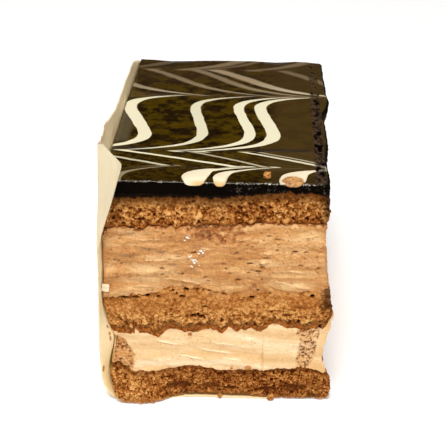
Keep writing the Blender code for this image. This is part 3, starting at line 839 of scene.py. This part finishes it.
def mousse_relief(spot, out, over, under):
    bow = SHEAR * (spot.x + 3) ** 2 * smooth((51 - spot.z) / 8)
    level = spot.z + bow + 1.2 * noise.noise(Vector((spot.x / 11, spot.y / 11, spot.z / 5)))
    drag = noise.noise(Vector((spot.x / 5, spot.y / 5, level / 0.55)))
    swell = noise.noise(Vector((spot.x / 13, spot.y / 13, level / 2.6)))
    ridge = max(0.5 * crest(spot, level, 9, 1.3), drawn(MOUSSE_RIDGES, spot, out))
    torn = 0.56 if out.y < -0.7 else 0.40
    pit = smooth((noise.noise(Vector((spot.x / 1.5, spot.y / 1.5, level / 0.6 + 9))) - torn) / 0.12)
    pit = max(0.5 * pit, dents(MOUSSE_PITS, spot, out))
    crumbs = 0.0
    if out.y < -0.7:
        x, z, half_width, half_height = CRUMB_SMEAR
        reach = ((spot.x - x) / half_width) ** 2 + ((spot.z - z) / half_height) ** 2
        crumbs = smooth((1.8 - reach + 1.4 * noise.noise(spot / 1.6)) / 1.8)
    crumbs = max(crumbs, smooth((0.5 - under + 1.0 * noise.noise(spot / 1.2)) / 0.6))
    ruffle = noise.noise(Vector((spot.x / 2.2, spot.y / 2.2, level / 1.0 + 3))) + 0.5 * noise.noise(spot / 0.9)
    crease = max(0.0, 1 - 7 * abs(noise.noise(Vector((spot.x / 3.2, spot.y / 3.2, level / 1.5 + 7))))) ** 2
    crease *= smooth(0.6 + 2.0 * noise.noise(Vector((spot.x / 9, spot.y / 9, level / 4 + 2))))
    proud = 0.75 * swell + 0.08 * drag + 0.30 * ruffle + 0.35 * ridge - 0.7 * pit - 0.28 * crease
    proud += crumbs * (0.3 * crumb(spot)[0] - 0.1)
    # The second value is painted shade in the pits and creases and, below 0, a painted highlight along the
    # ridges.
    return proud, pit - 0.6 * ridge + 0.25 * crease, crumbs


mousse = Finish("chocolate_mousse", Roughness=0.6, Specular_IOR_Level=0.2)
veil = mousse.grain(2.6, (4, 4, 1), 4.0, rough=0.6)
fleck = mousse.grain(0.45, (1.4, 1.4, 1), 5.0, rough=0.65)
colour = mousse.ramp(
    veil * 0.6 + fleck * 0.4,
    (0.34, tone(176, 114, 58)),
    (0.50, tone(207, 150, 90)),
    (0.66, tone(236, 192, 136)),
)
# Painted highlight: paler along the ridges.
colour = mousse.blend(mousse.attribute("shade_depth").step(-0.05, -0.5) * 0.5, colour, tone(248, 212, 158))
shaded = (mousse.grain(1.5, (3, 3, 1), 3.0) - 0.2).step(0.0, 0.5)
for spot in LIT:
    patch = mousse.near(*spot) * (0.2 + shaded)
    colour = mousse.blend(patch * 0.5, colour, tone(244, 206, 150))
for spot in SHADED:
    colour = mousse.blend(mousse.near(*spot) * shaded * 0.7, colour, tone(146, 106, 70))
# Painted shade: darker in the pits and creases.
colour = mousse.blend(mousse.attribute("shade_depth").step(0.05, 0.8) * 0.75, colour, tone(118, 64, 26))
speck = mousse.cells(mousse.place, 0.38).step(0.96, 0.98) * mousse.z.step(38, 46)
colour = mousse.blend(speck * 0.6, colour, tone(176, 92, 38))
flakes = mousse.cells(mousse.place, 0.7) * 0.6 + fleck * 0.6
crumbs = (mousse.attribute("stain_and_dent_shade") + (flakes - 0.6) * 0.8).step(0.25, 0.8)
crumb_colour = mousse.ramp(
    flakes,
    (0.3, tone(96, 44, 14)),
    (0.6, tone(152, 86, 36)),
    (0.9, tone(204, 140, 78)),
)
colour = mousse.blend(crumbs * 0.9, colour, crumb_colour)
mousse.paint(colour, None, fleck, 0.28)
add_piece(
    "mousse_slab", layer_mesh(MIDDLE_TO_MOUSSE, MOUSSE_TO_TOP, mousse_relief),
    mousse.material, ["mousse"],
)  # fmt: skip

# ---- The top sponge --------------------------------------------------------------------------------------
# The third sheet of cocoa sponge, with the most open crumb. The glaze has soaked into its upper millimetre.
SOAKED = 1.3


def top_relief(spot, out, over, under):
    soaked = smooth((SOAKED - under) / 0.8)
    proud, shade_depth = crumb(spot, 1.1)
    groove = 0.35 * smooth((0.7 - over) / 0.7)
    proud = mix(proud, -0.05 + 0.1 * noise.noise(spot / 0.7), 0.8 * soaked)
    # The groove along the foot deepens the shade depth: painted shade at the seam over the mousse.
    return proud - groove, shade_depth + 0.4 * groove, soaked


top_crumb, colour, fleck = sponge_finish("top_sponge_crumb", 6.0, 0.06)
foot = (top_crumb.attribute("over") + (fleck - 0.5) * 2.0).step(1.3, 0.2)
baked = top_crumb.ramp(fleck, (0.35, tone(96, 44, 12)), (0.6, tone(178, 96, 34)))
colour = top_crumb.blend(foot * 0.6, colour, baked)
depth = top_crumb.attribute("under") + (fleck - 0.5) * 1.2 + (top_crumb.grain(3.0) - 0.5) * 2.0
depth = depth - top_crumb.x.step(-2, -18) * 0.45 + top_crumb.x.step(4, 14) * 0.4
colour = top_crumb.blend(depth.step(4.2, 0.9) * 0.9, colour, tone(96, 54, 18))
colour = top_crumb.blend(depth.step(1.0, 0.3), colour, tone(20, 11, 5))
wet = (top_crumb.x + (fleck - 0.5) * 3.0).step(27.5, 30.5) * top_crumb.z.step(57, 62)
colour = top_crumb.blend(wet * 0.85, colour, tone(46, 22, 10))
top_crumb.paint(colour, None, fleck, 0.22)
add_piece(
    "top_sponge_slab", layer_mesh(MOUSSE_TO_TOP, TOP_TO_GLAZE, top_relief),
    top_crumb.material, ["top_sponge"],
)  # fmt: skip

# ---- The glaze -------------------------------------------------------------------------------------------
# Dark chocolate glaze, poured over the top sponge while warm. Lines of white icing were piped across it and
# drawn with a comb, first one way and then the other, which gives the feathered pattern. Its right side is
# the cake's own edge, rounded and rough.
RIM_RADIUS = 0.0007
SHOULDER_RADIUS = 0.0016
SHOULDER_X = 0.0255
SHARP_X, SHARP_WIDTH, SHARP_RADIUS = -0.0298, 0.0010, 0.00015  # at the paper
TOP_RINGS = (0.0303, 0.0270, 0.0220, 0.0170, 0.0120, 0.0085, 0.0060, 0.0045) + tuple(
    0.0003 * ring for ring in range(12, 0, -1)
)
ROUGH_EDGE, ROUGH_END = 0.0266, 0.0300  # the rough strip along the right side lies between these
# How far the rim lies low behind, where the knife went in: (X, depth).
BACK_DIPS = (
    (-27.0, 0.0), (-19.0, 0.5), (-8.0, 0.1), (8.0, 0.0), (16.0, 0.5), (23.0, 0.0), (29.0, 0.2), (32.0, 0.1),
)  # fmt: skip
BACK_RIM, BACK_FALL = 0.0440, 0.0040  # where that starts, and over how much depth
WAVE_DEPTH, WAVE_WIDTH = 0.05, 0.014

# Each stroke of the comb: its Y, how far it dragged the icing to the right, and how far that reaches in
# front of and behind it, in millimetres.
COMB = ((38.1, -24.0, 16.0, 6.0), (15.5, 21.7, 3.2, 4.0), (-25.9, -30.8, 12.0, 4.4), (-35.5, 23.8, 3.1, 17.8))
# Each line of icing as it was piped: its X at its front and back end, its width, the stretch of Y that
# shows it, and how white it is.
ICING = (
    (-24.9, -30.2, 4.1, -26.5, 15.8, 1.0), (-9.9, -8.4, 3.1, -26.5, 15.8, 0.9),
    (4.5, 4.5, 3.3, -26.5, 15.8, 1.0), (11.4, 11.2, 3.9, -26.5, 15.8, 1.0),
    (-23.0, -24.6, 4.4, 15.0, 38.5, 0.6), (-1.4, -2.6, 3.6, 15.0, 38.5, 0.5),
    (11.0, 12.4, 3.8, 15.0, 38.5, 0.5), (21.0, 19.2, 5.0, 15.0, 38.5, 0.8),
    (42.0, 42.0, 4.0, 24.0, 38.5, 0.35), (8.8, 8.8, 5.5, 37.5, 49.0, 0.45),
    (15.0, 15.0, 3.0, 37.5, 49.0, 0.3), (-13.5, -13.5, 5.0, 37.5, 49.0, 0.25),
    (31.5, 31.5, 5.0, 37.5, 49.0, 0.35), (-4.0, -11.4, 3.4, -36.0, -25.5, 1.0),
    (3.6, 8.8, 2.0, -36.0, -25.5, 0.6), (21.8, 24.0, 2.6, -36.0, -25.5, 0.85),
    (24.6, 28.8, 1.6, -36.0, -25.5, 0.6), (-23.4, -26.2, 2.8, -36.0, -25.5, 0.7),
    (-20.9, -20.0, 2.0, -46.0, -35.0, 0.45), (-1.2, -0.6, 4.0, -46.0, -35.0, 1.0),
    (6.6, 6.8, 2.6, -46.0, -35.0, 0.9), (24.6, 24.6, 4.0, -46.0, -35.0, 0.9),
)  # fmt: skip


def glaze_rim(x):
    """How round the rim is: sharp at the paper, and a soft shoulder on the right."""
    at_paper = smooth((SHARP_X - x) / SHARP_WIDTH)
    shoulder = smooth((x - SHOULDER_X) / (WIDTH / 2 - SHOULDER_X))
    return mix(mix(RIM_RADIUS, SHOULDER_RADIUS, shoulder), SHARP_RADIUS, at_paper)


def glaze_sag(x, y):
    """How far the glaze lies low: gentle waves, dips behind, and craters on the rough strip on the right."""
    wave = WAVE_DEPTH * noise.noise(Vector((x, y, 0)) / WAVE_WIDTH)
    dip = along(BACK_DIPS, x / MM) * smooth((y - BACK_RIM) / BACK_FALL)
    rough = smooth((x - ROUGH_EDGE) / 0.0012) * smooth((ROUGH_END - x) / 0.0008)
    spot = Vector((x, y, 0)) / MM
    crater = noise.noise(Vector((spot.x / 1.4, spot.y / 2.4, 0)))
    crater += 0.5 * noise.noise(Vector((spot.x / 3.0, spot.y / 6.0, 5)))
    crater = smooth((crater - 0.14) / 0.25)
    return MM * (WAVE_DEPTH + wave + dip + rough * (0.45 * crater + 0.15 * noise.noise(spot / 0.8)))


def glaze_relief(spot, out, over, under):
    lump = noise.noise(spot / 1.3) + 0.6 * noise.noise(spot / 0.5)
    return 0.12 * lump + 0.25 * noise.noise(spot / 5.0) - 0.1, 0.0, 0.0


glazed = Finish("chocolate_glaze", Specular_IOR_Level=0.0, Coat_Roughness=0.12)
shift, slope = 0.0, 0.0
for comb_y, pull, reach_front, reach_behind in COMB:
    behind = glazed.y - comb_y
    is_behind = behind.math("GREATER_THAN", 0.0)
    reach = is_behind * (reach_behind - reach_front) + reach_front
    drag = (-(abs(behind) / reach)).math("EXPONENT") * pull
    shift = drag + shift
    slope = drag / reach * (1 - is_behind * 2) + slope
steep = (slope * slope + 1).math("SQRT")
piped_x = glazed.x - shift + (glazed.grain(3.0, (1, 2, 1)) - 0.5) * 1.2
softness = glazed.y.step(-5, 45) * 1.1 + 0.22
icing = None
for front_x, back_x, width, first_y, last_y, white in ICING:
    lean = (back_x - front_x) / (last_y - first_y)
    off = (abs(piped_x - glazed.y * lean - (front_x - lean * first_y)) - width / 2) / steep
    shown = (glazed.y - (first_y - 0.3)).step(0, 0.6) * (glazed.y - (last_y + 0.3)).step(0, -0.6)
    line = (off / softness).step(0.6, -0.6) * shown * white
    icing = line if icing is None else icing.most(line)
icing = icing * (1 - steep.step(3.6, 8.5) * 0.75)
streak_at = glazed.node("CombineXYZ", {}, {"X": piped_x, "Y": glazed.y * 0.05})
streaks = glazed.node("TexNoise", {}, {"Vector": streak_at, "Scale": 0.9, "Detail": 4.0}).step(0.52, 0.72)
combed = slope.math("ABSOLUTE").step(1.5, 5.5)
icing = icing.most(streaks * combed * 0.4)

# The glaze's top is a painted reflection on near-black: olive mottles in the middle, finely speckled near the
# front, darker at the front rim, and smooth and paler grey-brown near both sides and behind.
reflection_mottle = glazed.grain(5.0, (1.2, 1, 1), 6.0, rough=0.62).step(0.44, 0.56)
speckled = glazed.grain(1.1, (1.6, 1, 1), 6.0, 5.0, 0.7).step(0.40, 0.60)
reflection_mottle = reflection_mottle + glazed.y.step(-27, -33) * (speckled - reflection_mottle)
ripple = glazed.grain(1.1, (2.4, 1, 1), 4.0, 2.0).step(0.44, 0.60)
olive = glazed.blend(ripple * 0.35, tone(68, 51, 2), tone(42, 27, 1))
umber = glazed.blend(ripple * 0.5, tone(24, 12, 2), tone(46, 30, 3))
dark = glazed.blend(reflection_mottle, umber, olive)
pale_reflection_sides = (glazed.x - glazed.y.step(-30, 0) * 2.0).step(10.5, 15.5)
dark = glazed.blend(pale_reflection_sides * (0.75 + reflection_mottle * 0.15), dark, tone(66, 49, 20))
left_reflection = glazed.x.step(-25.5, -27.5) * glazed.y.step(-22, -18) * glazed.y.step(4, 0)
dark = glazed.blend(left_reflection * 0.8, dark, tone(82, 72, 52))
dark = glazed.blend(glazed.y.step(12, 34) * 0.55, dark, tone(58, 42, 22))
dark = glazed.blend(glazed.y.step(-36, -44) * 0.35, dark, tone(26, 14, 2))
# Painted shade: a dark grey band along the front comb stroke, on both sides, where the comb left a shallow
# groove.
at_sides = (glazed.x.step(6, 13) * glazed.x.step(27, 25)).most(glazed.x.step(-12, -20))
groove = abs(glazed.y + 24.4).step(1.6, 0.5) * at_sides
dark = glazed.blend(groove * 0.8, dark, tone(42, 34, 26))
strip_left, strip_right = ROUGH_EDGE / MM, ROUGH_END / MM
rough_strip = glazed.x.step(strip_left - 0.3, strip_left + 0.8) * glazed.x.step(strip_right, strip_right - 0.6)
crusted = glazed.grain(1.4, (1, 1.6, 1), 4.0, 3.0).step(0.42, 0.58)
crust = glazed.blend(crusted, tone(26, 16, 10), tone(70, 52, 38))
dark = glazed.blend(rough_strip * glazed.y.step(24, 8) * 0.85, dark, crust)
old_icing = glazed.blend(glazed.y.step(8, 30), tone(222, 214, 184), tone(160, 140, 110))
thin_icing = glazed.blend(icing.step(0.25, 0.75), tone(160, 138, 108), old_icing)
top_colour = glazed.blend(icing * (1 - rough_strip * 0.8), dark, thin_icing)
side = glazed.z.step(HEIGHT / MM - 0.05, HEIGHT / MM - 0.45)
top_colour = glazed.blend(side, top_colour, tone(10, 6, 3))
# Painted highlights: pale flecks glinting along the front rim, and fainter ones on the cut side at the right.
glint_cells = glazed.cells(glazed.place, 0.32)
rim_glint = abs(glazed.z - 69.80).step(0.3, 0.1) * glazed.y.step(-44.5, -45.2)
rim_glint = rim_glint * glazed.grain(2.0, at=7.0).step(0.42, 0.58)
front_glint = glazed.x.step(2, 9) * glazed.y.step(-44, -46) * side
front_glint = front_glint * glazed.grain(1.6, at=1.0).step(0.46, 0.62) * 0.5
top_colour = glazed.blend(glint_cells.step(0.5, 0.8) * rim_glint * 0.8, top_colour, tone(186, 176, 160))
top_colour = glazed.blend(glint_cells.step(0.72, 0.9) * front_glint, top_colour, tone(120, 108, 94))
dimple = glazed.grain(0.8, detail=3.0)
glazed.join((1 - side) * 0.40 + 0.02, glazed.shader.inputs["Coat Weight"])
glazed.paint(top_colour, rough_strip * 0.25 + icing * 0.2 + 0.3, dimple, 0.05)
add_piece(
    "glaze_sheet", layer_mesh(TOP_TO_GLAZE, GLAZE_TOP, glaze_relief, TOP_RINGS, glaze_rim, glaze_sag),
    glazed.material, ["glaze"],
)  # fmt: skip

# ---- The icing at the rim --------------------------------------------------------------------------------
# Where the knife went through the three thickest lines of icing at the glaze's front rim, they stand up as
# glossy white drops that bulge over the edge. The right one's cut end is toasted brown, and the other two
# are tinted where they reach over the edge.
DROPS = (  # X, half length, front, back, and how far its tail bends to the right
    (-5.6, 3.5, -46.4, -37.0, 5.0), (1.3, 2.0, -46.5, -38.0, 4.0), (20.9, 3.4, -46.0, -37.0, 5.5),
)  # fmt: skip
DROP_UP, DROP_DOWN = 0.85, 0.95
TOASTED = (20.7, -44.9, 3.2, 3.0)  # the browned cut end: X, Y, half width and half depth
DROP_SQUARE = 0.75  # below 1 fills the outline's corners


def fuller(share):
    return math.copysign(abs(share) ** DROP_SQUARE, share)


bm = bmesh.new()
for x, half_length, front_y, back_y, bend in DROPS:
    ball = bmesh.ops.create_uvsphere(bm, u_segments=64, v_segments=40, radius=1)["verts"]
    for vert in ball:
        sideways, way, up = fuller(vert.co.x), vert.co.y, vert.co.z
        back = (way + 1) / 2
        uneven = 1 + 0.10 * noise.noise(Vector((sideways, way, up + x)) * 1.4)
        level = HEIGHT / MM - 0.45 * smooth(1 - 3 * back)
        vert.co = (
            x + half_length * sideways * uneven + bend * back**5,
            mix(front_y, back_y, back),
            level + up * mix(DROP_UP if up > 0 else DROP_DOWN, 0.35, smooth(back)),
        )
bmesh.ops.scale(bm, verts=bm.verts, vec=(MM,) * 3)
bmesh.ops.recalc_face_normals(bm, faces=bm.faces)

white_icing = Finish("white_icing", Roughness=0.3, Specular_IOR_Level=0.15)
fleck = white_icing.grain(0.8, detail=4.0)
x, y, half_width, half_depth = TOASTED
reach = ((white_icing.x - x) / half_width).squared() + ((white_icing.y - y) / half_depth).squared()
toasted = (reach + (fleck - 0.5) * 0.8).step(1.25, 0.7)
blush = (white_icing.z + (fleck - 0.5) * 0.5).step(70.7, 69.8)
blush = blush * white_icing.x.step(-8.0, -4.5) * white_icing.x.step(4.0, 2.0)
blush = blush * white_icing.y.step(-43.5, -45.5)
toast = white_icing.ramp(fleck, (0.3, tone(112, 60, 10)), (0.5, tone(164, 106, 38)), (0.7, tone(208, 154, 80)))
colour = white_icing.blend(blush * 0.7, tone(231, 217, 186), tone(208, 150, 62))
colour = white_icing.blend(toasted * 0.9, colour, toast)
white_icing.paint(colour, None, fleck, 0.05)
add_piece("icing_drops", bm, white_icing.material)

# ---- Crumbs and flecks -----------------------------------------------------------------------------------
# What the knife left behind: a crumb on the glaze and a few on the cut face, small wet grains in the mousse,
# whose white is a painted highlight, and a scrap of white wafer at the left edge. Each is a lump pressed into
# what it lies on.
CRUMBS = (
    (14.0, -42.0, 70.8, 1.15), (-7.2, -47.5, 22.5, 0.6), (9.6, -47.6, 11.2, 0.9), (4.8, -47.5, 10.8, 0.4),
    (1.4, -47.9, 0.9, 0.7), (-6.8, -46.0, 63.0, 0.5), (16.4, -48.0, 1.0, 1.0), (6.0, -47.5, 40.6, 0.45),
)  # fmt: skip
GLINTING_GRAINS = (  # X, Z and half size
    (-7.1, 54.5, 0.28), (-7.5, 53.9, 0.36), (-7.0, 53.6, 0.30), (-8.2, 53.0, 0.26), (-8.6, 53.1, 0.18),
    (-6.6, 54.0, 0.18), (-3.9, 49.9, 0.32), (-3.2, 49.3, 0.30), (-4.3, 49.1, 0.24), (-2.8, 50.0, 0.20),
    (-3.5, 50.2, 0.20), (-6.9, 48.0, 0.34), (-6.4, 48.3, 0.22), (-5.9, 46.9, 0.34), (-5.3, 47.1, 0.30),
    (-5.6, 46.2, 0.36), (-6.5, 47.2, 0.20), (-5.0, 46.6, 0.22), (-6.4, 45.0, 0.22), (-6.1, 44.7, 0.16),
    (-4.3, 45.2, 0.14),
)  # fmt: skip
SCRAP_AT, SCRAP_SIZE = (-30.6, -48.0, 37.7), (2.1, 0.5, 2.2)


def add_lump(bm, place, half_sizes, seed, rough=0.35):
    """An uneven lump at a place in millimetres."""
    ball = bmesh.ops.create_icosphere(bm, subdivisions=4, radius=1)["verts"]
    for vert in ball:
        spot = vert.co * 1.6 + Vector((seed, 0, 0))
        far, points = noise.voronoi(spot)
        bump = 1 + rough * (noise.noise(spot) + 0.6 * noise.noise(points[0] * 3.1))
        vert.co = (Vector(place) + bump * Vector(half_sizes) * vert.co) * MM


bm = bmesh.new()
for seed, (x, y, z, radius) in enumerate(CRUMBS):
    add_lump(bm, (x, y, z), (radius, radius, 0.85 * radius), 3.0 * seed)
toasted_crumb, colour, fleck = sponge_finish("stray_crumb", 9.0, 0.2)
toasted_crumb.paint(toasted_crumb.blend(0.35, colour, tone(150, 88, 40)), None, fleck, 0.2)
add_piece("stray_crumbs", bm, toasted_crumb.material)

bm = bmesh.new()
for seed, (x, z, radius) in enumerate(GLINTING_GRAINS):
    y = front_edge(x * MM, z * MM) / MM
    add_lump(bm, (x, y, z), (radius, radius, 0.8 * radius), 5.0 * seed, 0.8)
# Their white is a painted highlight on wet grains.
grain_glint = Finish("white_glint_grain", Roughness=0.2)
grain_glint.paint(grain_glint.ramp(grain_glint.grain(0.3), (0.3, tone(235, 222, 200)), (0.7, tone(255, 252, 246))))
add_piece("white_glint_grains", bm, grain_glint.material)

bm = bmesh.new()
bmesh.ops.create_cube(bm, size=1)
bmesh.ops.scale(bm, verts=bm.verts, vec=Vector(SCRAP_SIZE) * MM)
bmesh.ops.bevel(bm, geom=bm.edges[:], offset=0.12 * MM, segments=3, profile=0.5, affect="EDGES", material=-1)
bmesh.ops.subdivide_edges(bm, edges=bm.edges[:], cuts=2, use_grid_fill=True)
for vert in bm.verts:
    vert.co += 0.16 * MM * noise.noise_vector(vert.co / MM / 0.8)
bmesh.ops.rotate(bm, verts=bm.verts, matrix=Matrix.Rotation(math.radians(8), 3, "Y"))
bmesh.ops.translate(bm, verts=bm.verts, vec=Vector(SCRAP_AT) * MM)
wafer = Finish("white_wafer", Roughness=0.6)
wafer.paint(wafer.ramp(wafer.grain(0.6, detail=3.0), (0.3, tone(226, 204, 168)), (0.7, tone(242, 228, 198))))
add_piece("wafer_scrap", bm, wafer.material)

# ---- The camera, the floor and the light -----------------------------------------------------------------
# A pale floor, a large soft light high in front, and weaker ones on the right and on the left. The camera
# stands where the photographer's did, a little right of the slice and looking down on it.
CAMERA_AT = Vector((13.7, -294.0, 195.9)) * MM
LOOK_DOWN = math.radians(29.0)
LOOK_LEFT = math.radians(2.68)
LENS, SENSOR = 84.94, 36.0
FLOOR_SIZE = 6.0

right = Vector((math.cos(LOOK_LEFT), math.sin(LOOK_LEFT), 0.0))
forward = Vector((-math.sin(LOOK_LEFT), math.cos(LOOK_LEFT), 0.0))
ahead = forward * math.cos(LOOK_DOWN) - Vector((0.0, 0.0, math.sin(LOOK_DOWN)))
lens = bpy.data.cameras.new("camera")
lens.lens = LENS
lens.sensor_width = SENSOR
lens.clip_start = 0.01
camera = bpy.data.objects.new("camera", lens)
turned = Matrix((right, right.cross(ahead), -ahead)).transposed()
camera.matrix_world = Matrix.Translation(CAMERA_AT + TO_CENTRE) @ turned.to_4x4()
bpy.context.scene.collection.objects.link(camera)
bpy.context.scene.camera = camera

bm = bmesh.new()
bmesh.ops.create_grid(bm, x_segments=2, y_segments=2, size=FLOOR_SIZE / 2)
mesh = bpy.data.meshes.new("floor")
bm.to_mesh(mesh)
bm.free()
floor = bpy.data.objects.new("floor", mesh)
bpy.context.scene.collection.objects.link(floor)
board = bpy.data.materials.new("pale_floor")
board.use_nodes = True
FLOOR_LOOKS = {
    "Base Color": (0.92, 0.92, 0.92, 1),
    "Roughness": 0.9,
    "Emission Color": (1, 1, 1, 1),
    "Emission Strength": 0.15,
}
for socket, value in FLOOR_LOOKS.items():
    board.node_tree.nodes["Principled BSDF"].inputs[socket].default_value = value
mesh.materials.append(board)


def add_softbox(name, place, size, watts):
    """A square light that faces the slice."""
    light = bpy.data.lights.new(name, "AREA")
    light.size = size
    light.energy = watts
    lamp = bpy.data.objects.new(name, light)
    aim = Vector(place) - Vector((0, 0, HEIGHT / 2))
    lamp.matrix_world = Matrix.Translation(place) @ aim.to_track_quat("Z", "Y").to_matrix().to_4x4()
    bpy.context.scene.collection.objects.link(lamp)


add_softbox("key", (-0.05, -0.42, 1.05), 0.4, 10.5)
add_softbox("fill", (0.75, -0.45, 0.45), 0.6, 1.6)
add_softbox("side", (-0.80, -0.20, 0.40), 0.5, 1.0)

world = bpy.data.worlds.new("studio")
world.use_nodes = True
bpy.context.scene.world = world
nodes, links = world.node_tree.nodes, world.node_tree.links
way = nodes.new("ShaderNodeTexCoord")
split = nodes.new("ShaderNodeSeparateXYZ")
sky = nodes.new("ShaderNodeValToRGB")
links.new(way.outputs["Generated"], split.inputs[0])
links.new(split.outputs["Z"], sky.inputs["Fac"])
links.new(sky.outputs["Color"], nodes["Background"].inputs["Color"])
# The grey of the surroundings, by how high they are: pale low down, dark above, and white overhead. The
# glaze shows it.
SKY = ((0.0, 0.75), (0.10, 0.75), (0.20, 0.03), (0.74, 0.03), (0.86, 1.0))
for i, (at, level) in enumerate(SKY):
    stop = sky.color_ramp.elements.new(at) if i > 1 else sky.color_ramp.elements[i]
    stop.position = at
    stop.color = (level, level * 0.97, level * 0.93, 1)
bpy.context.scene.view_settings.view_transform = "Standard"
